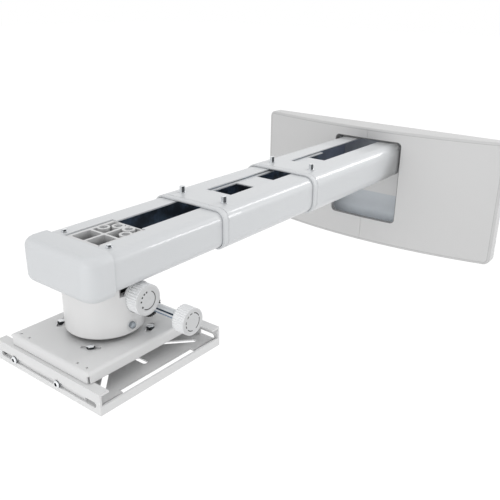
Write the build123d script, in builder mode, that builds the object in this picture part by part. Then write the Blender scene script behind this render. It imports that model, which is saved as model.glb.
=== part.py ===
import os
from math import atan2, cos, degrees, hypot, pi, radians, sin, sqrt, tan

from build123d import *

os.makedirs("parts", exist_ok=True)

# Frame: the origin is on the wall, at the centre of the four wall bolts.
# +Y points into the wall, the arm runs out along -Y, and +Z is up.
# A distance called "out" is measured from the wall towards the room, so y = -out.

# Arm tubes
arm_height = 59.0  # arm axis above the centre of the wall bolts
front_width = 122.0
front_height = 50.0
front_radius = 12.0
tube_wall = 2.0
glide_thickness = 1.0
slide_gap = 0.3
rear_mouth = 349.5  # out
mid_length = 376.5
mid_overlap = 161.5  # length of the middle tube inside the rear tube
front_length = 428.0
front_overlap = 226.5  # length of the front tube inside the middle tube
slot_width = 45.2
notch_width = 36.0
notch_length = 50.0
slot_end_radius = 1.5
rear_slot_front = 62.5  # from the rear mouth back to the slot
rear_slot_length = 247.0
mid_slot_front = 62.5
mid_slot_length = 200.0
bezel_rim = 10.0
bezel_lip = 25.0
glide_length = 40.0
glide_width = 22.0
glide_setback = 6.0
clamp_spacing = 77.0  # between the two clamp bolts of a mouth
mid_clamp_setback = 30.0
rear_clamp_setback = 33.0

# Head, seen from the front end of the arm
head_inset = 47.0  # from the end of the front tube back to the head axis
core_front = 26.0  # in front of the head axis
core_rear = 48.0
core_half_width = 29.2
core_gap = 0.4  # between the casting and the right edge of its window
core_slit = 2.0  # groove beside the raised block, on its left
core_slit_depth = 12.0
core_slit_end = 8.0  # solid at both ends of the groove
core_tie = 1.6  # solid bridge across the groove
core_tie_back = 6.5  # bridge behind the head axis
core_inset = 5.0  # walls round the cells
core_back_wall = 2.2
side_pocket_end = 15.0
corner_hole = (26.0, 21.6)  # sideways and in front of the head axis
corner_hole_radius = 1.2
corner_hole_depth = 8.0
core_rib = 3.6
core_rib_offset = 8.0  # cross rib behind the head axis
core_floor = 5.0
core_drop = 1.0  # top of the casting below the top of the tube
boss_radius = 8.2
outer_boss = (20.0, 24.0)  # sideways and behind the head axis
inner_boss = (9.4, 38.5)
front_window_length = 55.0
front_window_back = 437.0  # out
front_slot_back = 548.0  # out
cap_overhang = 2.6
cap_nose = 20.8  # length of the cap in front of the tube
cap_wall = 2.8
cap_reach = 15.0  # length of the cap over the tube
cap_corner = 20.0
cap_edge = 11.0
cap_gap = 0.3
head_bolt_inset = 28.5  # from the end of the tube back to the two head bolts
head_bolt_spacing = 80.0

# Column
column_radius = 48.75
column_wall = 3.0
column_top = 4.0
column_height = 64.3
pocket_x = 39.5  # floor of the round recess behind the upper knob
pocket_clearance = 1.0  # round that knob
gap_front = 14.0  # low cut under the tube, in front of the head axis
gap_length = 43.0
gap_height = 13.0
window_front = 29.0  # behind the head axis
window_height = 34.0
pivot_drop = 53.0  # pitch axis below the underside of the tube
pivot_radius = 4.0
pivot_boss = 7.5
pivot_face = 48.0
pivot_head = 4.5
pivot_hex = 4.5
running_gap = 0.05

# Cradle, yoke and the two adjusters
cradle_half_depth = 24.0
cradle_wall = 6.0
cradle_inner_x = 30.0
cradle_below = 9.0
cradle_above = 33.0
roll_rise = 25.0  # roll axis above the pitch axis
roll_pin_radius = 4.0
hub_radius = 9.0
yoke_half_width = 9.0
foot_radius = 32.0
foot_thickness = 4.0
foot_screw_place = 24.0
foot_screw_radius = 2.0
knob_radius = 19.25
knob_length = 25.0
knob_bore = 15.0
flute_count = 36
flute_stop = 3.0  # plain band between the flutes and the face
flute_radius = 1.1
tilt_knob_offset = (13.0, 32.5)  # behind and above the pitch axis
tilt_knob_gap = 1.5  # between the pocket wall and the knob
tilt_shaft_radius = 3.0
gear_module = 1.0
pinion_teeth = 10
pressure_angle = 25.0
gear_backlash = 0.4
sector_teeth = 9
gear_face = 5.0
roll_screw_back = 45.0  # behind the head axis
roll_screw_rise = 4.4  # above the pitch axis
roll_screw_radius = 4.0
sleeve_radius = 6.0
collar_length = 3.0
lock_ring_start = 33.0
lock_ring_length = 4.0
lock_ring_radius = 15.2
lock_ring_teeth = 30
lock_ring_notch = 1.1
roll_knob_face = 107.0
arm_lug_x = 20.0
arm_lug_thickness = 5.0
arm_lug_radius = 7.0
lever_front = 28.0  # behind the head axis
lever_thickness = 4.0
lever_half_width = 7.5
nut_half_length = 5.0
nut_half_height = 6.0
nut_pin_radius = 2.5

# Tray and yaw joint
tray_width = 144.6
tray_depth = 173.2
tray_gap = 5.5  # between the column and the tray
tray_sheet = 2.0
tray_flange = 13.9
tray_bend = 4.0
tray_hole_radius = 1.5
tray_hole_inset = 7.6  # from the front edge
tray_hole_x = (45.0, 61.0)
yaw_bolt_place = 57.0
yaw_first_angle = 32.0
yaw_slot_half_angle = 9.0
yaw_slot_width = 7.0
yaw_bolt_radius = 3.0
yaw_washer_radius = 5.0
yaw_hex = 4.2
yaw_head = 4.0
yaw_ring_outer = 66.0
yaw_ring_inner = 40.0

# Projector frame
rail_half_length = 96.0
rail_height = 26.8
rail_sheet = 2.5
rail_lip = 13.0
frame_front = 92.0  # in front of the head axis
frame_depth = 198.0
frame_drop = 0.5  # below the flanges of the tray
rail_slot_half = 89.0
rail_slot_height = 7.0
rail_slot_below = 16.3
bridge_half_width = 45.0
bridge_sheet = 2.0
bridge_screw_x = 30.0
side_height = 11.0
side_leg = 10.0
cross_half_width = 81.0
cross_corner_width = 87.0
cross_notch_length = 119.0
cross_sheet = 2.0
cross_drop = 19.8  # top of the cross plate below the top of the rails
cross_flange_half = 67.0
cross_flange_height = 15.0
cross_slot = (57.5, 62.0)  # middle of a diagonal slot, from the middle of the frame
cross_slot_length = 45.0
cross_slot_width = 7.0
side_slot_x = 54.0
side_slot_length = 19.0
projector_hole_x = 40.0
projector_hole_y = 30.0
projector_hole = 2.6
slide_screw_x = (-62.0, 21.0)
slide_screw_radius = 2.5
slide_washer_radius = 5.0
slide_hex = 4.0
slide_head = 3.5

# Wall side
cover_width = 512.0
cover_height = 231.0
cover_edge = 21.0  # depth at the two ends
cover_depth = 55.0  # depth at the middle
cover_wall = 2.5
cover_corner = 12.0
cover_round = 3.5
cover_seam = 0.4
opening_side = 2.9  # beside the rear tube
opening_above = 3.6
opening_height = 159.5
opening_corner = 8.0
opening_lip = 6.0
opening_lip_wall = 2.0
post_x = 180.0
post_z = 85.0
post_radius = 6.0
wall_sheet = 3.0
wall_half_width = 205.0
wall_half_height = 100.0
hat_depth = 14.0
hat_half_width = 88.0
hat_slope = 8.0
wall_bolt_x = 150.0
wall_bolt_z = 75.0
wall_bolt_hole = 4.5
flange_sheet = 4.0
flange_half_width = 86.0
flange_below = 78.0  # below the arm axis
flange_above = 39.0
flange_bolt_x = 77.0
flange_bolt_z = 20.0
flange_bolt_radius = 3.5
lift_travel = 85.0
lift_slot_play = 4.0

# Fasteners
clamp_bolt_radius = 3.0
clamp_hex = 3.6
clamp_head = 8.5
clamp_washer_radius = 5.0
head_bolt_head = 3.5
head_bolt_depth = 12.0
core_screw_head = (4.9, 5.0)  # radius and height
core_screw_socket = 2.6
core_screw_recess = (5.2, 9.0)  # radius and depth
flange_nut = 6.5
washer_thickness = 1.0
screw_clearance = 0.3

# Sizes that follow from the ones above
nest_step = tube_wall + glide_thickness + slide_gap
mid_width = front_width + 2 * nest_step
mid_height = front_height + 2 * nest_step
mid_radius = front_radius + nest_step
rear_width = mid_width + 2 * nest_step
rear_height = mid_height + 2 * nest_step
rear_radius = mid_radius + nest_step
mid_tail = rear_mouth - mid_overlap
mid_mouth = mid_tail + mid_length
front_tail = mid_mouth - front_overlap
front_end = front_tail + front_length
head_out = front_end - head_inset
arm_top = arm_height + front_height / 2
arm_bottom = arm_height - front_height / 2
hat_front = hat_depth + wall_sheet
flange_back = hat_front + slide_gap
flange_front = flange_back + flange_sheet
column_bottom = arm_bottom - column_height
pivot_z = arm_bottom - pivot_drop
roll_z = pivot_z + roll_rise
tilt_knob_y = -head_out + tilt_knob_offset[0]
tilt_knob_z = pivot_z + tilt_knob_offset[1]
roll_screw_y = -head_out + roll_screw_back
roll_screw_z = pivot_z + roll_screw_rise
lever_arm = roll_rise - roll_screw_rise
tray_top = column_bottom - tray_gap
tray_under = tray_top - tray_sheet
tray_foot = tray_top - tray_flange
ring_top = tray_under - slide_gap
rail_top = tray_foot - frame_drop
rail_bottom = rail_top - rail_height
lip_under = rail_top - rail_sheet
frame_out = head_out + frame_front
frame_back_out = frame_out - frame_depth
frame_mid_out = frame_out - frame_depth / 2
rail_slot_z = rail_top - rail_slot_below
cross_top = rail_top - cross_drop
cross_under = cross_top - cross_sheet
opening_half = rear_width / 2 + opening_side
opening_top = arm_height + rear_height / 2 + opening_above
opening_mid = opening_top - opening_height / 2


def out_plane(out):
    """Plane that faces the room at a distance from the wall; local x is X and local y is Z."""
    return Plane.XZ.offset(out)


def finish(piece, name):
    piece.part.label = name
    export_step(piece.part, f"parts/{name}.step")


def tube_section(width, height, radius, thickness):
    """Rounded rectangular ring on the arm axis, drawn in the sketch that is open."""
    with Locations((0, arm_height)):
        RectangleRounded(width, height, radius)
        RectangleRounded(width - 2 * thickness, height - 2 * thickness, radius - thickness, mode=Mode.SUBTRACT)


def top_cut(width, out_a, out_b, corner):
    """Rounded rectangle between two distances from the wall, seen from above."""
    with Locations((0, -(out_a + out_b) / 2)):
        RectangleRounded(width, abs(out_a - out_b), corner)


# Wall plate: one folded sheet, flat against the wall at both sides and raised in the middle
with BuildPart() as wall_plate:
    with BuildSketch(Plane.XY.offset(-wall_half_height)):
        with BuildLine():
            Polyline(
                (-wall_half_width, 0),
                (-hat_half_width - hat_slope, 0),
                (-hat_half_width, -hat_depth),
                (hat_half_width, -hat_depth),
                (hat_half_width + hat_slope, 0),
                (wall_half_width, 0),
                (wall_half_width, -wall_sheet),
                (hat_half_width + hat_slope + wall_sheet / 2, -wall_sheet),
                (hat_half_width + wall_sheet / 2, -hat_front),
                (-hat_half_width - wall_sheet / 2, -hat_front),
                (-hat_half_width - hat_slope - wall_sheet / 2, -wall_sheet),
                (-wall_half_width, -wall_sheet),
                close=True,
            )
        make_face()
    extrude(amount=2 * wall_half_height)
    with BuildSketch(out_plane(0)):
        with GridLocations(2 * wall_bolt_x, 2 * wall_bolt_z, 2, 2):
            Circle(wall_bolt_hole)
        with GridLocations(2 * flange_bolt_x, 1, 2, 1):
            with Locations((0, arm_height - lift_travel / 2)):
                SlotOverall(
                    lift_travel + 2 * flange_bolt_z + 2 * flange_bolt_radius + lift_slot_play,
                    2 * flange_bolt_radius + 1,
                    rotation=90,
                )
    extrude(amount=hat_front, mode=Mode.SUBTRACT)
finish(wall_plate, "wall_plate")

# Cover: a shell that bows outwards, split at the middle, with a lip round the arm's opening
cover_sag = cover_depth - cover_edge
with BuildPart() as cover_shell:
    with BuildSketch(Plane.XY.offset(-cover_height / 2)):
        with BuildLine():
            ThreePointArc(
                (-cover_width / 2, -cover_edge),
                (0, -cover_depth),
                (cover_width / 2, -cover_edge),
            )
            Polyline(
                (cover_width / 2, -cover_edge),
                (cover_width / 2, 0),
                (-cover_width / 2, 0),
                (-cover_width / 2, -cover_edge),
            )
        make_face()
    extrude(amount=cover_height)
    corner_edges = cover_shell.edges().filter_by(Axis.Y)
    fillet(corner_edges, cover_corner)
    front_edges = cover_shell.edges().filter_by(lambda e: e.center().Y < -cover_edge + 0.5)
    fillet(front_edges, cover_round)
    back_face = cover_shell.faces().sort_by(Axis.Y)[-1]
    offset(amount=-cover_wall, openings=back_face)
    with BuildSketch(out_plane(cover_edge)):
        with Locations((0, opening_mid)):
            RectangleRounded(
                2 * (opening_half + opening_lip_wall),
                opening_height + 2 * opening_lip_wall,
                opening_corner + opening_lip_wall,
            )
    extrude(until=Until.LAST, mode=Mode.SUBTRACT)

# Lip of the opening: a short collar that follows the bow of the cover
with BuildPart() as cover_collar:
    with BuildSketch(Plane.XY.offset(opening_mid - opening_height / 2 - opening_lip_wall)):
        with BuildLine():
            outer = ThreePointArc(
                (-cover_width / 2, -cover_edge),
                (0, -cover_depth),
                (cover_width / 2, -cover_edge),
            )
            Polyline(outer @ 1, (cover_width / 2, -cover_edge + cover_wall + opening_lip))
            ThreePointArc(
                (cover_width / 2, -cover_edge + cover_wall + opening_lip),
                (0, -cover_depth + cover_wall + opening_lip),
                (-cover_width / 2, -cover_edge + cover_wall + opening_lip),
            )
            Polyline((-cover_width / 2, -cover_edge + cover_wall + opening_lip), outer @ 0)
        make_face()
    extrude(amount=opening_height + 2 * opening_lip_wall)
    with BuildSketch(out_plane(0)):
        with Locations((0, opening_mid)):
            RectangleRounded(
                2 * (opening_half + opening_lip_wall),
                opening_height + 2 * opening_lip_wall,
                opening_corner + opening_lip_wall,
            )
            RectangleRounded(2 * opening_half, opening_height, opening_corner, mode=Mode.SUBTRACT)
    extrude(amount=2 * cover_depth, mode=Mode.INTERSECT)


def cover_half(side):
    """Half of the cover, with the two posts that stand on the wall plate."""
    with BuildPart() as half:
        add(cover_shell.part)
        add(cover_collar.part)
        with BuildSketch(out_plane(wall_sheet)):
            with GridLocations(2 * post_x, 2 * post_z, 2, 2):
                Circle(post_radius)
        post_depth = cover_edge + cover_sag * (1 - (2 * post_x / cover_width) ** 2) - wall_sheet
        extrude(amount=post_depth - cover_wall / 2)
        with BuildSketch(Plane.XY.offset(-cover_height)):
            with Locations((side * (cover_seam / 2 + cover_width / 2), -cover_depth / 2)):
                Rectangle(cover_width, 2 * cover_depth)
        extrude(amount=2 * cover_height, mode=Mode.INTERSECT)
    return half


finish(cover_half(-1), "cover_left")
finish(cover_half(1), "cover_right")

# Arm flange: slides up and down on the raised part of the wall plate
with BuildPart() as arm_flange:
    with BuildSketch(out_plane(flange_back)):
        with Locations((0, arm_height + (flange_above - flange_below) / 2)):
            RectangleRounded(2 * flange_half_width, flange_above + flange_below, cover_corner)
        with Locations((0, arm_height)):
            with GridLocations(2 * flange_bolt_x, 2 * flange_bolt_z, 2, 2):
                Circle(flange_bolt_radius + screw_clearance, mode=Mode.SUBTRACT)
    extrude(amount=flange_sheet)
finish(arm_flange, "arm_flange")

# Bolts of the flange, with a washer in front and a nut behind the wall plate
with BuildPart() as flange_bolts:
    with BuildSketch(out_plane(flange_front)):
        with Locations((0, arm_height)):
            with GridLocations(2 * flange_bolt_x, 2 * flange_bolt_z, 2, 2):
                Circle(2 * flange_bolt_radius)
    extrude(amount=washer_thickness)
    with BuildSketch(out_plane(flange_front + washer_thickness)):
        with Locations((0, arm_height)):
            with GridLocations(2 * flange_bolt_x, 2 * flange_bolt_z, 2, 2):
                RegularPolygon(1.85 * flange_bolt_radius, 6)
    extrude(amount=1.3 * flange_bolt_radius)
    with BuildSketch(out_plane(hat_depth - slide_gap - flange_nut)):
        with Locations((0, arm_height)):
            with GridLocations(2 * flange_bolt_x, 2 * flange_bolt_z, 2, 2):
                RegularPolygon(1.85 * flange_bolt_radius, 6)
    extrude(amount=flange_nut)
    with BuildSketch(out_plane(wall_sheet)):
        with Locations((0, arm_height)):
            with GridLocations(2 * flange_bolt_x, 2 * flange_bolt_z, 2, 2):
                Circle(flange_bolt_radius)
    extrude(amount=flange_front - wall_sheet)
finish(flange_bolts, "flange_bolts")

# Rear tube: welded to the flange, with the long cable slot in its top
rear_tube_end = rear_mouth - bezel_rim
with BuildPart() as rear_tube:
    with BuildSketch(out_plane(flange_front)):
        tube_section(rear_width, rear_height, rear_radius, tube_wall)
    extrude(amount=rear_tube_end - flange_front)
    rear_slot_start = rear_mouth - rear_slot_front
    with BuildSketch(Plane.XY.offset(arm_height)):
        top_cut(slot_width, rear_slot_start, rear_slot_start - rear_slot_length, slot_end_radius)
    extrude(amount=rear_height, mode=Mode.SUBTRACT)
    with BuildSketch(Plane.XY.offset(arm_height)):
        with Locations((0, -rear_mouth + rear_clamp_setback)):
            with GridLocations(clamp_spacing, 1, 2, 1):
                Circle(clamp_bolt_radius + screw_clearance)
    extrude(amount=rear_height, mode=Mode.SUBTRACT)
finish(rear_tube, "rear_tube")

# Middle tube: a slot in its top, and an open notch at its tail for the cables
mid_tube_end = mid_mouth - bezel_rim
with BuildPart() as mid_tube:
    with BuildSketch(out_plane(mid_tail)):
        tube_section(mid_width, mid_height, mid_radius, tube_wall)
    extrude(amount=mid_tube_end - mid_tail)
    mid_slot_start = mid_mouth - mid_slot_front
    with BuildSketch(Plane.XY.offset(arm_height)):
        top_cut(slot_width, mid_slot_start, mid_slot_start - mid_slot_length, slot_end_radius)
        top_cut(notch_width, mid_tail + notch_length, mid_tail - notch_length, slot_end_radius)
        with Locations((0, -mid_mouth + mid_clamp_setback)):
            with GridLocations(clamp_spacing, 1, 2, 1):
                Circle(clamp_bolt_radius + screw_clearance)
    extrude(amount=mid_height, mode=Mode.SUBTRACT)
finish(mid_tube, "mid_tube")

# Front tube: a window for the rib casting, a slot behind it, a cable window and a tail notch
core_front_out = head_out + core_front
core_rear_out = head_out - core_rear
with BuildPart() as front_tube:
    with BuildSketch(out_plane(front_tail)):
        tube_section(front_width, front_height, front_radius, tube_wall)
    extrude(amount=front_length)
    with BuildSketch(Plane.XY.offset(arm_height)):
        with Locations(((core_gap - core_slit) / 2, -(core_front_out + core_gap + core_rear_out) / 2)):
            RectangleRounded(
                2 * core_half_width + core_gap + core_slit,
                core_front_out + core_gap - core_rear_out,
                slot_end_radius,
            )
        top_cut(slot_width, core_rear_out + slot_end_radius * 2, front_slot_back, slot_end_radius)
        top_cut(notch_width, front_window_back + front_window_length, front_window_back, slot_end_radius)
        top_cut(notch_width, front_tail + notch_length, front_tail - notch_length, slot_end_radius)
        with Locations((0, -front_end + head_bolt_inset)):
            with GridLocations(head_bolt_spacing, 1, 2, 1):
                Circle(clamp_bolt_radius + screw_clearance)
    extrude(amount=front_height, mode=Mode.SUBTRACT)
    with BuildSketch(Plane.XY.offset(arm_bottom - tube_wall)):
        with Locations((0, -head_out + outer_boss[1])):
            with GridLocations(2 * outer_boss[0], 1, 2, 1):
                Circle(clamp_bolt_radius + screw_clearance)
        with Locations((0, -head_out + inner_boss[1])):
            with GridLocations(2 * inner_boss[0], 1, 2, 1):
                Circle(clamp_bolt_radius + screw_clearance)
    extrude(amount=3 * tube_wall, mode=Mode.SUBTRACT)
finish(front_tube, "front_tube")


def make_bezel(name, mouth, width, height, radius):
    """Moulded guide in a tube's mouth: a flush rim, and a lip between the two tubes."""
    fit = tube_wall + running_gap
    inner_step = nest_step - slide_gap
    with BuildPart() as bezel:
        with BuildSketch(out_plane(mouth - bezel_rim)):
            tube_section(width, height, radius, inner_step)
        extrude(amount=bezel_rim)
        with BuildSketch(out_plane(mouth - bezel_rim - bezel_lip)):
            tube_section(width - 2 * fit, height - 2 * fit, radius - fit, inner_step - fit)
        extrude(amount=bezel_lip)
    finish(bezel, name)


make_bezel("mid_bezel", mid_mouth, mid_width, mid_height, mid_radius)
make_bezel("rear_bezel", rear_mouth, rear_width, rear_height, rear_radius)


def make_glides(name, tail, width, height, radius):
    """Thin pads on the tail of a tube, two on each broad side and one on each edge."""
    pad_y = -(tail + glide_setback + glide_length / 2)
    pad_spacing = width - 2 * radius - glide_width
    with BuildPart() as glides:
        with Locations((0, pad_y, arm_height)):
            with GridLocations(pad_spacing, 1, 2, 1):
                with Locations((0, 0, height / 2 + glide_thickness / 2), (0, 0, -height / 2 - glide_thickness / 2)):
                    Box(glide_width, glide_length, glide_thickness)
            with Locations((width / 2 + glide_thickness / 2, 0, 0), (-width / 2 - glide_thickness / 2, 0, 0)):
                Box(glide_thickness, glide_length, height - 2 * glide_width)
    finish(glides, name)


make_glides("mid_glides", mid_tail, mid_width, mid_height, mid_radius)
make_glides("front_glides", front_tail, front_width, front_height, front_radius)


def make_top_bolts(name, out, spacing, tube_top, head, depth):
    """Pair of hex screws with washers on the top of a tube."""
    with BuildPart() as bolts:
        with BuildSketch(Plane.XY.offset(tube_top)):
            with Locations((0, -out)):
                with GridLocations(spacing, 1, 2, 1):
                    Circle(clamp_washer_radius)
        extrude(amount=washer_thickness)
        with BuildSketch(Plane.XY.offset(tube_top + washer_thickness)):
            with Locations((0, -out)):
                with GridLocations(spacing, 1, 2, 1):
                    RegularPolygon(clamp_hex, 6, major_radius=False)
        extrude(amount=head)
        with BuildSketch(Plane.XY.offset(tube_top - depth)):
            with Locations((0, -out)):
                with GridLocations(spacing, 1, 2, 1):
                    Circle(clamp_bolt_radius)
        extrude(amount=depth)
    finish(bolts, name)


# The clamp screws end in the wall of the tube and press on the guide below it
rear_clamp_out = rear_mouth - rear_clamp_setback
mid_clamp_out = mid_mouth - mid_clamp_setback
head_bolt_out = front_end - head_bolt_inset
rear_top = arm_height + rear_height / 2
mid_top = arm_height + mid_height / 2
make_top_bolts("rear_clamp_bolts", rear_clamp_out, clamp_spacing, rear_top, clamp_head, tube_wall)
make_top_bolts("mid_clamp_bolts", mid_clamp_out, clamp_spacing, mid_top, clamp_head, tube_wall)
make_top_bolts("head_bolts", head_bolt_out, head_bolt_spacing, arm_top, head_bolt_head, head_bolt_depth)

# Rib casting: closes the front of the slot and carries the column below the tube
core_top = arm_top - core_drop
core_fit = tube_wall + slide_gap
core_shoulder = arm_top - core_fit
core_base = arm_bottom + core_fit
core_side = front_width / 2 - core_fit
rib_out = head_out - core_rib_offset
with BuildPart() as rib_core:
    with BuildSketch(out_plane(core_rear_out)):
        with Locations((0, arm_height)):
            RectangleRounded(2 * core_side, front_height - 2 * core_fit, front_radius - core_fit)
    extrude(amount=core_front_out - core_rear_out)
    with BuildSketch(Plane.XY.offset(core_base)):
        top_cut(2 * core_half_width, core_front_out, core_rear_out + screw_clearance, slot_end_radius)
    extrude(amount=core_top - core_base)
    # Two square cells in front of the cross rib
    cell_front = core_front_out - core_inset
    cell_rear = rib_out + core_rib / 2
    cell_half = core_half_width - core_inset
    with BuildSketch(Plane.XY.offset(core_base + core_floor)):
        for side in (-1, 1):
            with Locations((side * (cell_half + core_rib / 2) / 2, -(cell_front + cell_rear) / 2)):
                RectangleRounded(cell_half - core_rib / 2, cell_front - cell_rear, slot_end_radius)
    extrude(amount=front_height, mode=Mode.SUBTRACT)
    # The rear cells, around four screw bosses
    back_front = rib_out - core_rib / 2
    back_rear = core_rear_out + core_back_wall
    with BuildSketch(Plane.XY.offset(core_base + core_floor)):
        for side in (-1, 1):
            with Locations((side * (cell_half + core_rib / 2) / 2, -(back_front + back_rear) / 2)):
                RectangleRounded(cell_half - core_rib / 2, back_front - back_rear, slot_end_radius)
        with Locations((0, -head_out + outer_boss[1])):
            with GridLocations(2 * outer_boss[0], 1, 2, 1):
                Circle(boss_radius, mode=Mode.SUBTRACT)
        with Locations((0, -head_out + inner_boss[1])):
            with GridLocations(2 * inner_boss[0], 1, 2, 1):
                Circle(boss_radius, mode=Mode.SUBTRACT)
    extrude(amount=front_height, mode=Mode.SUBTRACT)
    # Pockets from below beside the raised block
    side_pocket_width = core_side - core_half_width - 2 * core_inset
    side_pocket_length = core_front + core_rear - 2 * side_pocket_end
    with BuildSketch(Plane.XY.offset(core_base)):
        for side in (-1, 1):
            pocket_mid = side * (core_side + core_half_width) / 2
            with Locations((pocket_mid, -(core_front_out + core_rear_out) / 2 + core_inset)):
                RectangleRounded(side_pocket_width, side_pocket_length, slot_end_radius)
    extrude(amount=core_shoulder - core_base - core_floor, mode=Mode.SUBTRACT)
    with Locations(*[
        (side * boss[0], -head_out + boss[1], core_top) for boss in (outer_boss, inner_boss) for side in (-1, 1)
    ]):
        CounterBoreHole(clamp_bolt_radius + screw_clearance, *core_screw_recess)
    with Locations(*[(side * head_bolt_spacing / 2, -head_bolt_out, core_shoulder) for side in (-1, 1)]):
        Hole(clamp_bolt_radius + screw_clearance, depth=head_bolt_depth)
    # Groove beside the block, with a bridge, and the small hole in the front corner
    with BuildSketch(Plane.XY.offset(core_shoulder - core_slit_depth)):
        tie_out = head_out - core_tie_back
        for out_a, out_b in (
            (core_front_out - core_slit_end, tie_out + core_tie / 2),
            (tie_out - core_tie / 2, core_rear_out + core_slit_end),
        ):
            with Locations((-core_half_width - core_slit / 2, -(out_a + out_b) / 2)):
                Rectangle(core_slit, out_a - out_b)
    extrude(amount=core_slit_depth, mode=Mode.SUBTRACT)
    with Locations((corner_hole[0], -head_out - corner_hole[1], core_top)):
        Hole(corner_hole_radius, depth=corner_hole_depth)
finish(rib_core, "rib_core")

# Screws that hold the column to the casting, their heads sunk in the bosses
core_screw_top = core_top - core_screw_recess[1]
with BuildPart() as core_screws:
    for boss in (outer_boss, inner_boss):
        with BuildSketch(Plane.XY.offset(core_screw_top)):
            with Locations((0, -head_out + boss[1])):
                with GridLocations(2 * boss[0], 1, 2, 1):
                    Circle(core_screw_head[0])
                    RegularPolygon(core_screw_socket, 6, mode=Mode.SUBTRACT)
        extrude(amount=core_screw_head[1])
        with BuildSketch(Plane.XY.offset(arm_bottom - column_top)):
            with Locations((0, -head_out + boss[1])):
                with GridLocations(2 * boss[0], 1, 2, 1):
                    Circle(clamp_bolt_radius)
        extrude(amount=core_screw_top - arm_bottom + column_top)
finish(core_screws, "core_screws")

# End cap: moulded, with broad round corners, pushed over the end of the front tube
cap_front_out = front_end + cap_nose
cap_half = front_width / 2 + cap_overhang
cap_rise = front_height / 2 + cap_overhang
cap_length = cap_reach + cap_nose
with BuildPart() as end_cap:
    with BuildSketch(Plane.XY.offset(arm_height - cap_rise)):
        with Locations((0, -cap_front_out + cap_length / 2)):
            Rectangle(2 * cap_half, cap_length)
        fillet(vertices().group_by(Axis.Y)[0], cap_corner)
    extrude(amount=2 * cap_rise)
    cap_rims = end_cap.edges().group_by(Axis.Z)[0] + end_cap.edges().group_by(Axis.Z)[-1]
    fillet(cap_rims.filter_by(lambda e: e.center().Y < -cap_front_out + cap_length - 0.1), cap_edge)
    with BuildSketch(out_plane(cap_front_out - cap_length)):
        with Locations((0, arm_height)):
            RectangleRounded(front_width + 2 * cap_gap, front_height + 2 * cap_gap, front_radius + cap_gap)
    extrude(amount=cap_reach, mode=Mode.SUBTRACT)
    with BuildSketch(out_plane(front_end)):
        with Locations((0, arm_height)):
            RectangleRounded(2 * (cap_half - cap_corner), 2 * (cap_rise - cap_edge), cap_wall)
    extrude(amount=cap_nose - cap_wall, mode=Mode.SUBTRACT)
    with BuildSketch(Plane.XY.offset(arm_height - cap_rise)):
        with Locations((0, -head_out)):
            Circle(column_radius + cap_gap)
    extrude(amount=cap_overhang + cap_gap, mode=Mode.SUBTRACT)
finish(end_cap, "end_cap")


# Column: a hollow round housing under the tube. Its inside leaves a wall round the recess of
# the upper knob and behind the low cut under the tube
recess_radius = knob_radius + pocket_clearance
gap_y = -head_out - gap_front + gap_length / 2
with BuildPart() as column_inside:
    with BuildSketch(Plane.XY.offset(column_bottom)):
        with Locations((0, -head_out)):
            Circle(column_radius - column_wall)
    extrude(amount=column_height - column_top)
    with BuildSketch(Plane.YZ.offset(pocket_x - column_wall)):
        with Locations((tilt_knob_y, tilt_knob_z)):
            Circle(recess_radius + column_wall)
        with Locations((gap_y, arm_bottom - gap_height / 2)):
            Rectangle(gap_length + 2 * column_wall, gap_height + 2 * column_wall)
    extrude(amount=column_radius, mode=Mode.SUBTRACT)

with BuildPart() as column:
    with BuildSketch(Plane.XY.offset(column_bottom)):
        with Locations((0, -head_out)):
            Circle(column_radius)
    extrude(amount=column_height)
    chamfer(column.edges().group_by(Axis.Z)[0], column_wall / 2)
    add(column_inside.part, mode=Mode.SUBTRACT)
    with BuildSketch(Plane.YZ.offset(pocket_x)):
        with Locations((tilt_knob_y, tilt_knob_z)):
            Circle(recess_radius)
        with Locations((gap_y, arm_bottom - gap_height / 2)):
            Rectangle(gap_length, gap_height)
    extrude(amount=column_radius, mode=Mode.SUBTRACT)
    # Bosses for the pins of the pitch axis, with flat faces for their heads
    boss_inner = cradle_inner_x + gear_face + slide_gap
    with BuildSketch(Plane.YZ.offset(boss_inner)):
        with Locations((-head_out, pivot_z)):
            Circle(pivot_boss)
    extrude(amount=pivot_face - boss_inner - slide_gap)
    with BuildSketch(Plane.YZ.offset(-boss_inner)):
        with Locations((-head_out, pivot_z)):
            Circle(pivot_boss)
    extrude(amount=-(pivot_face - boss_inner - slide_gap))
    for side in (-1, 1):
        with BuildSketch(Plane.YZ.offset(side * pivot_face)):
            with Locations((-head_out, pivot_z)):
                Circle(pivot_boss)
        extrude(amount=side * column_radius, mode=Mode.SUBTRACT)
    with BuildSketch(Plane.YZ.offset(-column_radius)):
        with Locations((-head_out, pivot_z)):
            Circle(pivot_radius + running_gap)
    extrude(amount=2 * column_radius, mode=Mode.SUBTRACT)
    # Window at the rear, for the arms of the cradle
    window_top = roll_screw_z + window_height / 2
    with BuildSketch(Plane.XY.offset(column_bottom)):
        with Locations((0, -head_out + window_front + column_radius / 2)):
            Rectangle(2 * column_radius, column_radius)
    extrude(amount=window_top - column_bottom, mode=Mode.SUBTRACT)
    # Bearing of the upper knob, and the holes of the screws from above
    with BuildSketch(Plane.YZ.offset(pocket_x - 2 * column_wall)):
        with Locations((tilt_knob_y, tilt_knob_z)):
            Circle(tilt_shaft_radius + running_gap)
    extrude(amount=3 * column_wall, mode=Mode.SUBTRACT)
    with BuildSketch(Plane.XY.offset(arm_bottom - column_top)):
        for boss in (outer_boss, inner_boss):
            with Locations((0, -head_out + boss[1])):
                with GridLocations(2 * boss[0], 1, 2, 1):
                    Circle(clamp_bolt_radius + running_gap)
    extrude(amount=column_top, mode=Mode.SUBTRACT)
finish(column, "column")

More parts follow.
